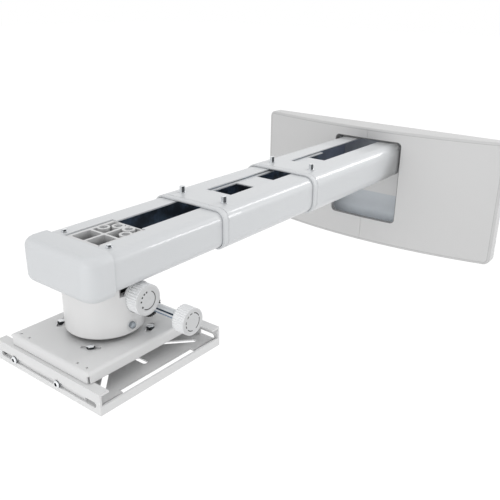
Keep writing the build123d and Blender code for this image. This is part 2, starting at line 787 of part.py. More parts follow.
# Pins of the pitch axis, each with a hex head outside the column
with BuildPart() as pitch_pins:
    for side in (-1, 1):
        with BuildSketch(Plane.YZ.offset(side * (cradle_inner_x + slide_gap))):
            with Locations((-head_out, pivot_z)):
                Circle(pivot_radius)
        extrude(amount=side * (pivot_face - cradle_inner_x - slide_gap))
        with BuildSketch(Plane.YZ.offset(side * pivot_face)):
            with Locations((-head_out, pivot_z)):
                RegularPolygon(pivot_hex, 6, major_radius=False)
        extrude(amount=side * pivot_head)
finish(pitch_pins, "pitch_pins")


def involute(angle):
    """Involute of an angle in radians."""
    return tan(angle) - angle


def tooth_half_angle(pitch_radius, radius):
    """Half of the angle that a tooth takes up at a radius."""
    base = pitch_radius * cos(radians(pressure_angle))
    at_pitch = (pi * gear_module - gear_backlash) / 4 / pitch_radius
    at_pitch += involute(radians(pressure_angle))
    if radius <= base:
        return at_pitch
    return at_pitch - involute(atan2(sqrt(radius**2 - base**2), base))


def tooth_outline(pitch_radius, middle):
    """Corner points of one tooth about the gear's centre, from below its root to the tip and back."""
    root = pitch_radius - 1.1 * gear_module
    tip = pitch_radius + 0.8 * gear_module
    radii = [root - 0.3 * gear_module] + [root + (tip - root) * step / 4 for step in range(5)]
    right = [(r, middle - tooth_half_angle(pitch_radius, r)) for r in radii]
    left = [(r, middle + tooth_half_angle(pitch_radius, r)) for r in reversed(radii)]
    return [(r * cos(angle), r * sin(angle)) for r, angle in right + left]


# The gears: centre distance from the two axes, so the sector takes what the pinion leaves
gear_distance = hypot(*tilt_knob_offset)
gear_angle = atan2(tilt_knob_offset[1], tilt_knob_offset[0])
pinion_radius = gear_module * pinion_teeth / 2
sector_radius = gear_distance - pinion_radius
tooth_step = pi * gear_module / sector_radius
pinion_step = 2 * pi / pinion_teeth

# Pinion with its shaft, which ends inside the knob
pinion_x = cradle_inner_x + slide_gap
tilt_knob_back = pocket_x + tilt_knob_gap
with BuildPart() as tilt_pinion:
    with BuildSketch(Plane.YZ.offset(pinion_x)):
        with Locations((tilt_knob_y, tilt_knob_z)):
            Circle(pinion_radius - 1.1 * gear_module)
            for tooth in range(pinion_teeth):
                with BuildLine(mode=Mode.PRIVATE) as outline:
                    Polyline(*tooth_outline(pinion_radius, gear_angle + pi + tooth * pinion_step), close=True)
                add(make_face(outline.edges(), mode=Mode.PRIVATE))
    extrude(amount=gear_face)
    with BuildSketch(Plane.YZ.offset(pinion_x)):
        with Locations((tilt_knob_y, tilt_knob_z)):
            Circle(tilt_shaft_radius)
    extrude(amount=tilt_knob_back + knob_bore - pinion_x)
finish(tilt_pinion, "tilt_pinion")


def make_knob(name, back, y, z, shaft_radius):
    """Fluted knob on a shaft along X, its back at a given X."""
    with BuildPart() as knob:
        with BuildSketch(Plane.YZ.offset(back)):
            with Locations((y, z)):
                Circle(knob_radius)
        extrude(amount=knob_length)
        chamfer(knob.edges().filter_by(GeomType.CIRCLE), 1.0)
        with BuildSketch(Plane.YZ.offset(back)):
            with Locations((y, z)):
                with PolarLocations(knob_radius + flute_radius / 2, flute_count):
                    Circle(flute_radius)
        extrude(amount=knob_length - flute_stop, mode=Mode.SUBTRACT)
        with BuildSketch(Plane.YZ.offset(back)):
            with Locations((y, z)):
                Circle(shaft_radius + running_gap)
        extrude(amount=knob_bore + slide_gap, mode=Mode.SUBTRACT)
    finish(knob, name)


make_knob("tilt_knob", tilt_knob_back, tilt_knob_y, tilt_knob_z, tilt_shaft_radius)
roll_knob_back = roll_knob_face - knob_length
make_knob("roll_knob", roll_knob_back, roll_screw_y, roll_screw_z, sleeve_radius)

# Cradle: two cheeks on the pitch pins, two walls that carry the roll shaft, two arms behind
cradle_bottom = pivot_z - cradle_below
cradle_top = pivot_z + cradle_above
sector_root = sector_radius - 1.1 * gear_module
lug_rear = roll_screw_back + arm_lug_radius
with BuildPart() as pitch_cradle:
    for side in (-1, 1):
        with BuildSketch(Plane.YZ.offset(side * cradle_inner_x)):
            with Locations((-head_out, pivot_z)):
                Circle(sector_root)
            with Locations((-head_out, pivot_z - cradle_below + sector_radius)):
                Rectangle(2 * cradle_half_depth, 2 * sector_radius, mode=Mode.INTERSECT)
        extrude(amount=side * gear_face)
    with BuildSketch(Plane.YZ.offset(cradle_inner_x)):
        with Locations((-head_out, pivot_z)):
            for tooth in range(sector_teeth + 1):
                middle = gear_angle + (tooth - sector_teeth / 2) * tooth_step
                with BuildLine(mode=Mode.PRIVATE) as outline:
                    Polyline(*tooth_outline(sector_radius, middle), close=True)
                add(make_face(outline.edges(), mode=Mode.PRIVATE))
    extrude(amount=gear_face)
    wall_middle = cradle_half_depth - cradle_wall / 2
    with BuildSketch(Plane.XY.offset(cradle_bottom)):
        with Locations((0, -head_out)):
            with GridLocations(1, 2 * wall_middle, 1, 2):
                Rectangle(2 * cradle_inner_x, cradle_wall)
    extrude(amount=cradle_top - cradle_bottom)
    with BuildSketch(Plane.YZ.offset(-arm_lug_x - arm_lug_thickness / 2)):
        with Locations((-head_out + (cradle_half_depth + roll_screw_back) / 2, roll_screw_z)):
            Rectangle(roll_screw_back - cradle_half_depth, 2 * arm_lug_radius)
        with Locations((roll_screw_y, roll_screw_z)):
            Circle(arm_lug_radius)
    extrude(amount=arm_lug_thickness)
    with BuildSketch(Plane.YZ.offset(arm_lug_x - arm_lug_thickness / 2)):
        with Locations((-head_out + (cradle_half_depth + roll_screw_back) / 2, roll_screw_z)):
            Rectangle(roll_screw_back - cradle_half_depth, 2 * arm_lug_radius)
        with Locations((roll_screw_y, roll_screw_z)):
            Circle(arm_lug_radius)
    extrude(amount=arm_lug_thickness)
    with BuildSketch(Plane.YZ.offset(-column_radius)):
        with Locations((roll_screw_y, roll_screw_z)):
            Circle(roll_screw_radius + running_gap)
        with Locations((-head_out, pivot_z)):
            Circle(pivot_radius + running_gap)
    extrude(amount=2 * column_radius, mode=Mode.SUBTRACT)
    with BuildSketch(out_plane(head_out - cradle_half_depth)):
        with Locations((0, roll_z)):
            Circle(roll_pin_radius + running_gap)
    extrude(amount=2 * cradle_half_depth, mode=Mode.SUBTRACT)
finish(pitch_cradle, "pitch_cradle")

# Yoke: hub on the roll shaft, web down through the cradle, round foot on the tray
foot_top = tray_top + foot_thickness
hub_half = cradle_half_depth - cradle_wall - slide_gap
with BuildPart() as roll_yoke:
    with BuildSketch(out_plane(head_out - hub_half)):
        with Locations((0, roll_z)):
            Circle(hub_radius)
        with Locations((0, (roll_z + tray_top) / 2)):
            Rectangle(2 * yoke_half_width, roll_z - tray_top)
        with Locations((0, roll_z)):
            Circle(roll_pin_radius + running_gap, mode=Mode.SUBTRACT)
    extrude(amount=2 * hub_half)
    with BuildSketch(Plane.XY.offset(tray_top)):
        with Locations((0, -head_out)):
            Circle(foot_radius)
    extrude(amount=foot_thickness)
    with BuildSketch(Plane.XY.offset(tray_top)):
        with Locations((0, -head_out)):
            with PolarLocations(foot_screw_place, 4):
                Circle(foot_screw_radius + running_gap)
    extrude(amount=foot_thickness, mode=Mode.SUBTRACT)
finish(roll_yoke, "roll_yoke")

# Shaft of the yoke, with a head in front of the cradle
lever_rear = lever_front + lever_thickness
with BuildPart() as roll_shaft:
    with BuildSketch(out_plane(head_out - lever_rear)):
        with Locations((0, roll_z)):
            Circle(roll_pin_radius)
    extrude(amount=lever_rear + cradle_half_depth + slide_gap)
    with BuildSketch(out_plane(head_out + cradle_half_depth + slide_gap)):
        with Locations((0, roll_z)):
            Circle(1.6 * roll_pin_radius)
    extrude(amount=collar_length)
finish(roll_shaft, "roll_shaft")

# Lever on the rear end of the shaft, forked over the pin of the nut
fork_top = roll_screw_z + 2 * nut_pin_radius
lever_bottom = roll_screw_z - 1.5 * nut_pin_radius
with BuildPart() as roll_lever:
    with BuildSketch(out_plane(head_out - lever_rear)):
        with Locations((0, roll_z)):
            Circle(hub_radius)
        with Locations((0, (roll_z + lever_bottom) / 2)):
            Rectangle(2 * lever_half_width, roll_z - lever_bottom)
        with Locations((0, roll_z)):
            Circle(roll_pin_radius + running_gap, mode=Mode.SUBTRACT)
        with Locations((0, (fork_top + lever_bottom) / 2)):
            Rectangle(2 * (nut_pin_radius + running_gap), fork_top - lever_bottom, mode=Mode.SUBTRACT)
    extrude(amount=lever_thickness)
finish(roll_lever, "roll_lever")

# Nut with its pin, between the arms of the cradle
with BuildPart() as roll_nut:
    with Locations((0, roll_screw_y, roll_screw_z)):
        Box(2 * nut_half_length, 2 * nut_half_height, 2 * nut_half_height)
    with BuildSketch(out_plane(head_out - roll_screw_back + nut_half_height)):
        with Locations((0, roll_screw_z)):
            Circle(nut_pin_radius)
    extrude(amount=roll_screw_back - nut_half_height - lever_front)
    with BuildSketch(Plane.YZ.offset(-nut_half_length)):
        with Locations((roll_screw_y, roll_screw_z)):
            Circle(roll_screw_radius + running_gap)
    extrude(amount=2 * nut_half_length, mode=Mode.SUBTRACT)
finish(roll_nut, "roll_nut")

# Rod: thread between the arms, a collar at its left end and a thick polished part to the knob
arm_outer = arm_lug_x + arm_lug_thickness / 2 + slide_gap
with BuildPart() as roll_screw:
    with BuildSketch(Plane.YZ.offset(-arm_outer)):
        with Locations((roll_screw_y, roll_screw_z)):
            Circle(roll_screw_radius)
    extrude(amount=2 * arm_outer)
    with BuildSketch(Plane.YZ.offset(-arm_outer - collar_length)):
        with Locations((roll_screw_y, roll_screw_z)):
            Circle(sleeve_radius)
    extrude(amount=collar_length)
    with BuildSketch(Plane.YZ.offset(arm_outer)):
        with Locations((roll_screw_y, roll_screw_z)):
            Circle(sleeve_radius)
    extrude(amount=roll_knob_back + knob_bore - arm_outer)
finish(roll_screw, "roll_screw")

# Toothed lock ring on the rod, outside the column
with BuildPart() as lock_ring:
    with BuildSketch(Plane.YZ.offset(lock_ring_start)):
        with Locations((roll_screw_y, roll_screw_z)):
            Circle(lock_ring_radius)
            with PolarLocations(lock_ring_radius, lock_ring_teeth):
                Rectangle(2 * lock_ring_notch, 1.4 * lock_ring_notch, mode=Mode.SUBTRACT)
            Circle(sleeve_radius + running_gap, mode=Mode.SUBTRACT)
    extrude(amount=lock_ring_length)
finish(lock_ring, "lock_ring")

# Tray: folded down on all four sides, with relieved corners and four arc slots
with BuildPart() as tray:
    with BuildSketch(Plane.XY.offset(tray_foot)):
        with Locations((0, -head_out)):
            Rectangle(tray_width, tray_depth)
    extrude(amount=tray_flange)
    fillet(tray.edges().group_by(Axis.Z)[-1], tray_bend)
    offset(amount=-tray_sheet, openings=tray.faces().sort_by(Axis.Z)[0])
    with BuildSketch(Plane.XY.offset(tray_foot)):
        with Locations((0, -head_out)):
            with GridLocations(tray_width, tray_depth, 2, 2):
                Rectangle(3 * tray_sheet, 3 * tray_sheet)
    extrude(amount=tray_flange - tray_bend, mode=Mode.SUBTRACT)
    with BuildSketch(Plane.XY.offset(tray_under)):
        with Locations((0, -head_out)):
            for turn in range(4):
                middle = yaw_first_angle + 90 * turn
                with BuildLine(mode=Mode.PRIVATE) as arc:
                    CenterArc((0, 0), yaw_bolt_place, middle - yaw_slot_half_angle, 2 * yaw_slot_half_angle)
                SlotArc(arc.edges()[0], yaw_slot_width)
            with PolarLocations(foot_screw_place, 4):
                Circle(foot_screw_radius + running_gap)
            with Locations((0, -(tray_depth / 2 - tray_hole_inset))):
                for hole_x in tray_hole_x:
                    with GridLocations(2 * hole_x, 1, 2, 1):
                        Circle(tray_hole_radius)
    extrude(amount=tray_sheet, mode=Mode.SUBTRACT)
finish(tray, "tray")

# Screws between tray and foot
with BuildPart() as foot_screws:
    with BuildSketch(Plane.XY.offset(tray_under)):
        with Locations((0, -head_out)):
            with PolarLocations(foot_screw_place, 4):
                Circle(foot_screw_radius)
    extrude(amount=tray_sheet + foot_thickness)
    with BuildSketch(Plane.XY.offset(tray_under)):
        with Locations((0, -head_out)):
            with PolarLocations(foot_screw_place, 4):
                Circle(2 * foot_screw_radius)
    extrude(amount=-foot_screw_radius)
finish(foot_screws, "foot_screws")

# Turntable: a ring under the tray, on a bridge between the two rails
bridge_bottom = lip_under - bridge_sheet
with BuildPart() as turntable:
    with BuildSketch(Plane.XY.offset(lip_under)):
        with Locations((0, -head_out)):
            Circle(yaw_ring_outer)
            Circle(yaw_ring_inner, mode=Mode.SUBTRACT)
    extrude(amount=ring_top - lip_under)
    with BuildSketch(Plane.XY.offset(bridge_bottom)):
        with Locations((0, -frame_mid_out)):
            Rectangle(2 * bridge_half_width, frame_depth - 2 * rail_sheet)
        with Locations((0, -head_out)):
            Circle(yaw_ring_inner, mode=Mode.SUBTRACT)
    extrude(amount=bridge_sheet)
    with BuildSketch(Plane.XY.offset(bridge_bottom)):
        with Locations((0, -head_out)):
            with PolarLocations(yaw_bolt_place, 4, start_angle=yaw_first_angle):
                Circle(yaw_bolt_radius + running_gap)
        with Locations((0, -frame_mid_out)):
            with GridLocations(2 * bridge_screw_x, frame_depth - 1.5 * rail_lip, 2, 2):
                Circle(foot_screw_radius + running_gap)
    extrude(amount=ring_top - bridge_bottom, mode=Mode.SUBTRACT)
finish(turntable, "turntable")

# Bolts of the yaw joint, with washers on the tray
with BuildPart() as yaw_bolts:
    with BuildSketch(Plane.XY.offset(tray_top)):
        with Locations((0, -head_out)):
            with PolarLocations(yaw_bolt_place, 4, start_angle=yaw_first_angle):
                Circle(yaw_washer_radius)
    extrude(amount=washer_thickness)
    with BuildSketch(Plane.XY.offset(tray_top + washer_thickness)):
        with Locations((0, -head_out)):
            with PolarLocations(yaw_bolt_place, 4, start_angle=yaw_first_angle):
                RegularPolygon(yaw_hex, 6, major_radius=False)
    extrude(amount=yaw_head)
    with BuildSketch(Plane.XY.offset(lip_under)):
        with Locations((0, -head_out)):
            with PolarLocations(yaw_bolt_place, 4, start_angle=yaw_first_angle):
                Circle(yaw_bolt_radius)
    extrude(amount=tray_top - lip_under)
finish(yaw_bolts, "yaw_bolts")


def make_rail(name, web_out, inward):
    """Channel rail; its lips point from the web towards the middle of the frame."""
    lip_y = -web_out + inward * rail_lip / 2
    with BuildPart() as rail:
        with Locations((0, -web_out + inward * rail_sheet / 2, (rail_top + rail_bottom) / 2)):
            Box(2 * rail_half_length, rail_sheet, rail_height)
        with Locations((0, lip_y, rail_top - rail_sheet / 2)):
            Box(2 * rail_half_length, rail_lip, rail_sheet)
        with Locations((0, lip_y, rail_bottom + rail_sheet / 2)):
            Box(2 * (rail_half_length - side_leg), rail_lip, rail_sheet)
        with BuildSketch(out_plane(web_out)):
            with Locations((0, rail_slot_z)):
                SlotOverall(2 * rail_slot_half, rail_slot_height)
        extrude(amount=rail_lip, both=True, mode=Mode.SUBTRACT)
        with BuildSketch(Plane.XY.offset(lip_under)):
            with Locations((0, -frame_mid_out)):
                with GridLocations(2 * bridge_screw_x, frame_depth - 1.5 * rail_lip, 2, 2):
                    Circle(foot_screw_radius + running_gap)
        extrude(amount=rail_sheet, mode=Mode.SUBTRACT)
    finish(rail, name)


make_rail("front_rail", frame_out, 1)
make_rail("rear_rail", frame_back_out, -1)


def make_side(name, side):
    """Angle bar that stands between the ends of the rails."""
    bar_length = frame_depth - 2 * rail_sheet
    with BuildPart() as bar:
        with Locations((side * (rail_half_length - side_leg / 2), -frame_mid_out, rail_bottom + rail_sheet / 2)):
            Box(side_leg, bar_length, rail_sheet)
        with Locations((side * (rail_half_length - rail_sheet / 2), -frame_mid_out, rail_bottom + side_height / 2)):
            Box(rail_sheet, bar_length, side_height)
    finish(bar, name)


make_side("side_rail_left", -1)
make_side("side_rail_right", 1)

# Screws between the bridge and the lips of the rails, from below
with BuildPart() as rail_screws:
    with BuildSketch(Plane.XY.offset(bridge_bottom)):
        with Locations((0, -frame_mid_out)):
            with GridLocations(2 * bridge_screw_x, frame_depth - 1.5 * rail_lip, 2, 2):
                Circle(foot_screw_radius)
    extrude(amount=rail_top - bridge_bottom)
    with BuildSketch(Plane.XY.offset(bridge_bottom)):
        with Locations((0, -frame_mid_out)):
            with GridLocations(2 * bridge_screw_x, frame_depth - 1.5 * rail_lip, 2, 2):
                Circle(1.6 * foot_screw_radius)
    extrude(amount=-foot_screw_radius / 2)
finish(rail_screws, "rail_screws")

# Projector plate: slides between the rails, cut away beside the side bars
flange_out = frame_out - rail_sheet - slide_gap
flange_in = frame_back_out + rail_sheet + slide_gap
with BuildPart() as projector_plate:
    with BuildSketch(Plane.XY.offset(cross_under)):
        with Locations((0, -frame_mid_out)):
            Rectangle(2 * cross_corner_width, flange_out - flange_in)
            with GridLocations(2 * (cross_corner_width + cross_half_width) / 2, 1, 2, 1):
                Rectangle(cross_corner_width - cross_half_width, cross_notch_length, mode=Mode.SUBTRACT)
            slot_turn = degrees(atan2(cross_slot[1], cross_slot[0]))
            for side in (-1, 1):
                for row in (-1, 1):
                    with Locations((side * cross_slot[0], row * cross_slot[1])):
                        SlotOverall(
                            cross_slot_length, cross_slot_width, rotation=side * row * slot_turn, mode=Mode.SUBTRACT
                        )
            with GridLocations(2 * side_slot_x, 1, 2, 1):
                SlotOverall(side_slot_length, cross_slot_width, mode=Mode.SUBTRACT)
            with GridLocations(2 * projector_hole_x, 2 * projector_hole_y, 2, 2):
                Circle(projector_hole, mode=Mode.SUBTRACT)
            Circle(yaw_ring_inner / 2, mode=Mode.SUBTRACT)
    extrude(amount=cross_sheet)
    for edge_out, inward in ((flange_out, 1), (flange_in, -1)):
        with BuildSketch(Plane.XY.offset(cross_under)):
            with Locations((0, -edge_out + inward * cross_sheet / 2)):
                Rectangle(2 * cross_flange_half, cross_sheet)
        extrude(amount=cross_flange_height)
    with BuildSketch(out_plane(flange_in)):
        for screw_x in slide_screw_x:
            with Locations((screw_x, rail_slot_z)):
                Circle(slide_screw_radius + running_gap)
    extrude(amount=flange_out - flange_in, both=True, mode=Mode.SUBTRACT)
finish(projector_plate, "projector_plate")

# Screws that clamp the plate in the slots of the rails
with BuildPart() as slide_screws:
    for web_out, away in ((frame_out, 1), (frame_back_out, -1)):
        with BuildSketch(out_plane(web_out)):
            for screw_x in slide_screw_x:
                with Locations((screw_x, rail_slot_z)):
                    Circle(slide_washer_radius)
        extrude(amount=away * washer_thickness)
        with BuildSketch(out_plane(web_out + away * washer_thickness)):
            for screw_x in slide_screw_x:
                with Locations((screw_x, rail_slot_z)):
                    RegularPolygon(slide_hex, 6, major_radius=False)
        extrude(amount=away * slide_head)
        with BuildSketch(out_plane(web_out)):
            for screw_x in slide_screw_x:
                with Locations((screw_x, rail_slot_z)):
                    Circle(slide_screw_radius)
        extrude(amount=-away * (rail_sheet + slide_gap + 2 * cross_sheet))
finish(slide_screws, "slide_screws")
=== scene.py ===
from math import atan2, cos, degrees, floor, hypot, pi, radians, sin, tan

import bmesh
import bpy
from mathutils import Matrix, Vector


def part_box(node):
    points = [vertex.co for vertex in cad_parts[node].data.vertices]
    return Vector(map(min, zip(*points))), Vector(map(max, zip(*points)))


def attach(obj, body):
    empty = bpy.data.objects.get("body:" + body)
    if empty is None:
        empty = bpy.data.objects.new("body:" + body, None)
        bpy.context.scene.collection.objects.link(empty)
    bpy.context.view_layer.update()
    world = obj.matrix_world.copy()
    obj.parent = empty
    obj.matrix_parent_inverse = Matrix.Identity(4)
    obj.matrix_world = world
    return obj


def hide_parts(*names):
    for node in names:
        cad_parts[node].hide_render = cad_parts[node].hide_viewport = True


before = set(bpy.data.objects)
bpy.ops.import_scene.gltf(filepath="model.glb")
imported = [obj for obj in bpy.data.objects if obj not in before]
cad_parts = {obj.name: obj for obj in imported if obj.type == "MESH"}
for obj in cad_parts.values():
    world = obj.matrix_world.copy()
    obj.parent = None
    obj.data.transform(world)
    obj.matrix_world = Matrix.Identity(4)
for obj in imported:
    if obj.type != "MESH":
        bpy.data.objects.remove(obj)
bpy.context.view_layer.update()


# Wall plate: one sheet of galvanised steel, folded forwards in the middle and bolted flat
# to the wall. Its zinc coat keeps a faint spangle and a cool tint under the cover, and painted
# shade darkens it above a height.


class Socket:
    """An output of a shader node that can be used in arithmetic."""

    def __init__(self, finish, output):
        self.finish, self.output = finish, output

    def math(self, operation, other=None, reverse=False):
        pair = [self] if other is None else [self, other]
        settings = {"operation": operation}
        return self.finish.node("ShaderNodeMath", settings, pair[::-1] if reverse else pair)

    def __add__(self, other):
        return self.math("ADD", other)

    def __sub__(self, other):
        return self.math("SUBTRACT", other)

    def __mul__(self, other):
        return self.math("MULTIPLY", other)

    def __rsub__(self, other):
        return self.math("SUBTRACT", other, True)

    __radd__, __rmul__ = __add__, __mul__


class Finish:
    """A material whose nodes are added one at a time."""

    def __init__(self, name):
        self.material = bpy.data.materials.new(name)
        self.material.use_nodes = True
        self.tree = self.material.node_tree
        self.shader = self.tree.nodes["Principled BSDF"]
        self.place = self.node("ShaderNodeTexCoord", output="Object")

    def node(self, kind, settings=None, inputs=(), output=0):
        """Adds a node: its settings first, then its inputs by name or in order."""
        made = self.tree.nodes.new(kind)
        for key, value in (settings or {}).items():
            setattr(made, key, value)
        pairs = inputs.items() if isinstance(inputs, dict) else enumerate(inputs)
        for key, value in pairs:
            if isinstance(value, Socket):
                self.tree.links.new(value.output, made.inputs[key])
            else:
                made.inputs[key].default_value = value
        return Socket(self, made.outputs[output])

    def set(self, **values):
        """Sets sockets of the shader; a name's underscores stand for spaces."""
        for key, value in values.items():
            name = key.replace("_", " ")
            if isinstance(value, Socket):
                self.tree.links.new(value.output, self.shader.inputs[name])
            else:
                self.shader.inputs[name].default_value = value

    def colour(self):
        """The colour that the shader has so far."""
        return Socket(self, self.shader.inputs["Base Color"].links[0].from_socket)

    def noise(self, scale, detail=3.0, roughness=0.5):
        values = {"Vector": self.place, "Scale": scale, "Detail": detail, "Roughness": roughness}
        return self.node("ShaderNodeTexNoise", {}, values, "Fac")

    def xyz(self):
        """The three coordinates of a place on the object."""
        split = self.node("ShaderNodeSeparateXYZ", {}, [self.place])
        return [Socket(self, split.output.node.outputs[n]) for n in range(3)]

    def step(self, value, low, high, a=0.0, b=1.0):
        """Runs from a to b while a value goes from low to high."""
        settings = {"interpolation_type": "SMOOTHSTEP", "clamp": True}
        return self.node("ShaderNodeMapRange", settings, [value, low, high, a, b])

    def band(self, value, low, high, edge):
        """1 between two values and 0 outside them."""
        rise = self.step(value, low - edge, low + edge)
        return rise * self.step(value, high - edge, high + edge, 1.0, 0.0)

    def mix(self, factor, a, b):
        """Mixes two colours."""
        mixed = self.node("ShaderNodeMix", {"data_type": "RGBA"}, {0: factor, 6: a, 7: b})
        return Socket(self, mixed.output.node.outputs[2])

    def bump(self, height, distance, strength=1.0):
        values = {"Height": height, "Distance": distance, "Strength": strength}
        return self.node("ShaderNodeBump", {}, values, "Normal")


def grey(value, blue=0.0):
    """Neutral colour, or one a little on the blue side."""
    return (value * (1 - blue), value * (1 - blue / 2), value, 1.0)


def dress(finish, *names):
    """Gives a finish to CAD nodes."""
    for name in names:
        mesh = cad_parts[name].data
        mesh.materials.clear()
        mesh.materials.append(finish.material)


def galvanised(name, tone, unshaded_below, shaded_above, shaded_share):
    """Zinc coat with large pale crystals, darkened above a height by painted shade."""
    zinc = Finish(name)
    crystals = {"Vector": zinc.place, "Scale": 140.0}
    cells = zinc.node("ShaderNodeTexVoronoi", {}, crystals, "Color")
    spangle = zinc.node("ShaderNodeSeparateColor", {}, [cells])
    haze = zinc.noise(30.0)
    shade = spangle * 0.3 + haze * 0.7
    height = zinc.xyz()[2]
    # Painted shade: the colour darkens above a height, and the plate below it stays lighter.
    painted_shade_factor = zinc.step(height, unshaded_below, shaded_above, 1.0, shaded_share)
    coat = zinc.mix(shade, grey(tone * 0.97, 0.12), grey(tone * 1.02, 0.10))
    zinc.set(
        Base_Color=zinc.mix(painted_shade_factor, grey(0), coat),
        Metallic=0.05,
        Roughness=shade * 0.16 + 0.42,
        Normal=zinc.bump(haze, 0.00008, 0.4),
    )
    return zinc


sheet_zinc = galvanised(
    "galvanised_sheet", tone=0.96, unshaded_below=-0.075, shaded_above=-0.040, shaded_share=0.68,
)
dress(sheet_zinc, "wall_plate")


# Cover: two bowed halves moulded in white plastic that meet at a seam in the middle. They
# stand on posts on the wall plate and close round the arm with a short lip. A groove sets
# off a rim all round; painted shade darkens the groove and, a little, the rim, and a painted
# shadow runs round the opening as a dark gap.
def moulded(name, tone=0.64, blue=0.006, grain_depth=0.00005):
    """White moulded plastic with a fine spark-eroded grain."""
    plastic = Finish(name)
    clouds = plastic.noise(6.0, 2.0)
    grain = plastic.noise(1500.0, 2.0)
    plastic.set(
        Base_Color=plastic.mix(clouds, grey(tone * 0.985, blue), grey(tone * 1.015, blue)),
        Roughness=clouds * 0.06 + 0.42,
        Normal=plastic.bump(grain, grain_depth, 0.5),
    )
    return plastic


def outline_depth(finish, low, high, corner):
    """Distance outside the outline, with round corners, of a box seen from the front."""
    x, _, z = finish.xyz()
    middle = (low.z + high.z) / 2
    past_x = x.math("ABSOLUTE") - (high.x - corner)
    past_z = (z - middle).math("ABSOLUTE") - ((high.z - low.z) / 2 - corner)
    round_x = past_x.math("MAXIMUM", 0.0)
    round_z = past_z.math("MAXIMUM", 0.0)
    reach = (round_x * round_x + round_z * round_z).math("SQRT")
    return reach + past_x.math("MAXIMUM", past_z).math("MINIMUM", 0.0) - corner


low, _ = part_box("cover_left")
_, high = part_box("cover_right")
_, tube_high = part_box("rear_tube")
cover_corner, opening_corner = 0.012, 0.008
opening_side, opening_above, opening_height = 0.0029, 0.0036, 0.1595
opening_high = tube_high + Vector((opening_side, 0, opening_above))
opening_low = opening_high - Vector((0, 0, opening_height))
rim_inner, rim_outer, rim_shade_tone = -0.0050, -0.0044, grey(0.585)
groove_inner, groove_outer, groove_edge, groove_shade_tone = -0.0054, -0.0046, 0.0003, grey(0.44)
gap_width, gap_edge, gap_shadow_tone = 0.0008, 0.0004, grey(0.05, 0.1)
cover = moulded("cover_plastic", tone=0.63, blue=0.0)
depth = outline_depth(cover, low, high, cover_corner)
past_opening = outline_depth(cover, opening_low, opening_high, opening_corner)
# Painted shade: a darker rim and a dark groove line all round. Painted shadow: a dark band just
# outside the opening.
rim = cover.step(depth, rim_inner, rim_outer)
groove_shade = cover.band(depth, groove_inner, groove_outer, groove_edge)
gap_shadow = cover.band(past_opening, 0.0, gap_width, gap_edge)
tone = cover.mix(rim, cover.colour(), rim_shade_tone)
tone = cover.mix(groove_shade, tone, groove_shade_tone)
cover.set(Base_Color=cover.mix(gap_shadow, tone, gap_shadow_tone))
dress(cover, "cover_left", "cover_right")


# Arm: three nested box tubes of welded steel sheet, powder coated white outside and on the
# edges of their slots. The coat doesn't reach the inside, which stays dark mill steel, with
# painted light that pales it near the wall. Near the wall painted shade greys the coat, and
# lower down it starts further from the wall.
def powder_coat(name, tone=0.645, blue=0.010):
    """White powder coat: even colour, fine orange peel, slightly duller in patches."""
    coat = Finish(name)
    patches = coat.noise(9.0, 2.0)
    peel = coat.noise(900.0, 2.0)
    coat.set(
        Base_Color=coat.mix(patches, grey(tone * 0.985, blue), grey(tone * 1.015, blue)),
        Roughness=patches * 0.06 + 0.33,
        Coat_Weight=0.35,
        Normal=coat.bump(peel, 0.00005, 0.5),
    )
    return coat


coat_inner, coat_outer = -0.0019, -0.0015
mill_scale, bare_steel = (0.10, 0.12, 0.15, 1.0), (0.26, 0.36, 0.50, 1.0)
# Painted light: the steel inside turns pale towards the wall. Painted shade: the coat turns grey
# towards the wall, starting further out lower down.
wall_light_steel, wall_light_start, wall_light_end = (0.50, 0.55, 0.66, 1.0), -0.17, -0.07
wall_shade_tone, wall_shade_start, wall_shade_end, wall_shade_lean = grey(0.36, 0.03), -0.090, -0.036, 0.9


def tube_coat(name, low, high, corner):
    """Powder coat outside a tube and dark steel more than a coat's depth inside it. Near the
    wall, painted light pales the steel and painted shade greys the coat.
    """
    coat = powder_coat(name, blue=0.045)
    _, y, z = coat.xyz()
    outside = coat.step(outline_depth(coat, low, high, corner), coat_inner, coat_outer)
    scale = coat.noise(28.0, 4.0, 0.6)
    steel = coat.mix(coat.step(scale, 0.38, 0.64), mill_scale, bare_steel)
    # Painted light on the steel near the wall, then painted shade on the coat near the wall.
    steel = coat.mix(coat.step(y, wall_light_start, wall_light_end), steel, wall_light_steel)
    wall_shade = coat.step(y + (high.z - z) * wall_shade_lean, wall_shade_start, wall_shade_end)
    coat_with_shade = coat.mix(wall_shade, coat.colour(), wall_shade_tone)
    coat.set(Base_Color=coat.mix(outside, steel, coat_with_shade))
    return coat


tube_corners = {"rear_tube": 0.0186, "mid_tube": 0.0153, "front_tube": 0.012}
for tube, corner in tube_corners.items():
    dress(tube_coat(tube + "_coat", *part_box(tube), corner), tube)
sheet_coat = powder_coat("sheet_coat", tone=0.69, blue=0.006)
dress(sheet_coat, "arm_flange")


# Guides: white mouldings pushed into the mouths of the two outer tubes, flush outside, with
# soft edges that leave a fine groove at the tube. The glides on the two tails are black.
def pick(piece, test, kind="verts"):
    """In edit mode, selects just the vertices, edges or faces that pass a test."""
    bpy.ops.mesh.select_mode(type=kind[:-1].upper())
    bpy.ops.mesh.select_all(action="DESELECT")
    work = bmesh.from_edit_mesh(piece.data)
    for element in getattr(work, kind):
        if test(element):
            element.select_set(True)
    bmesh.update_edit_mesh(piece.data)


def joined(name, *parts):
    """One mesh of several, with smooth round sides and sharp edges."""
    bpy.ops.object.select_all(action="DESELECT")
    for part in parts:
        part.select_set(True)
    bpy.context.view_layer.objects.active = parts[0]
    bpy.ops.object.join()
    bpy.ops.object.shade_smooth_by_angle(angle=radians(32))
    parts[0].name = name
    return parts[0]


def paint(piece, *finishes):
    """Gives a new piece its finishes, the first of them on all faces."""
    piece.data.materials.clear()
    for finish in finishes:
        piece.data.materials.append(finish.material)


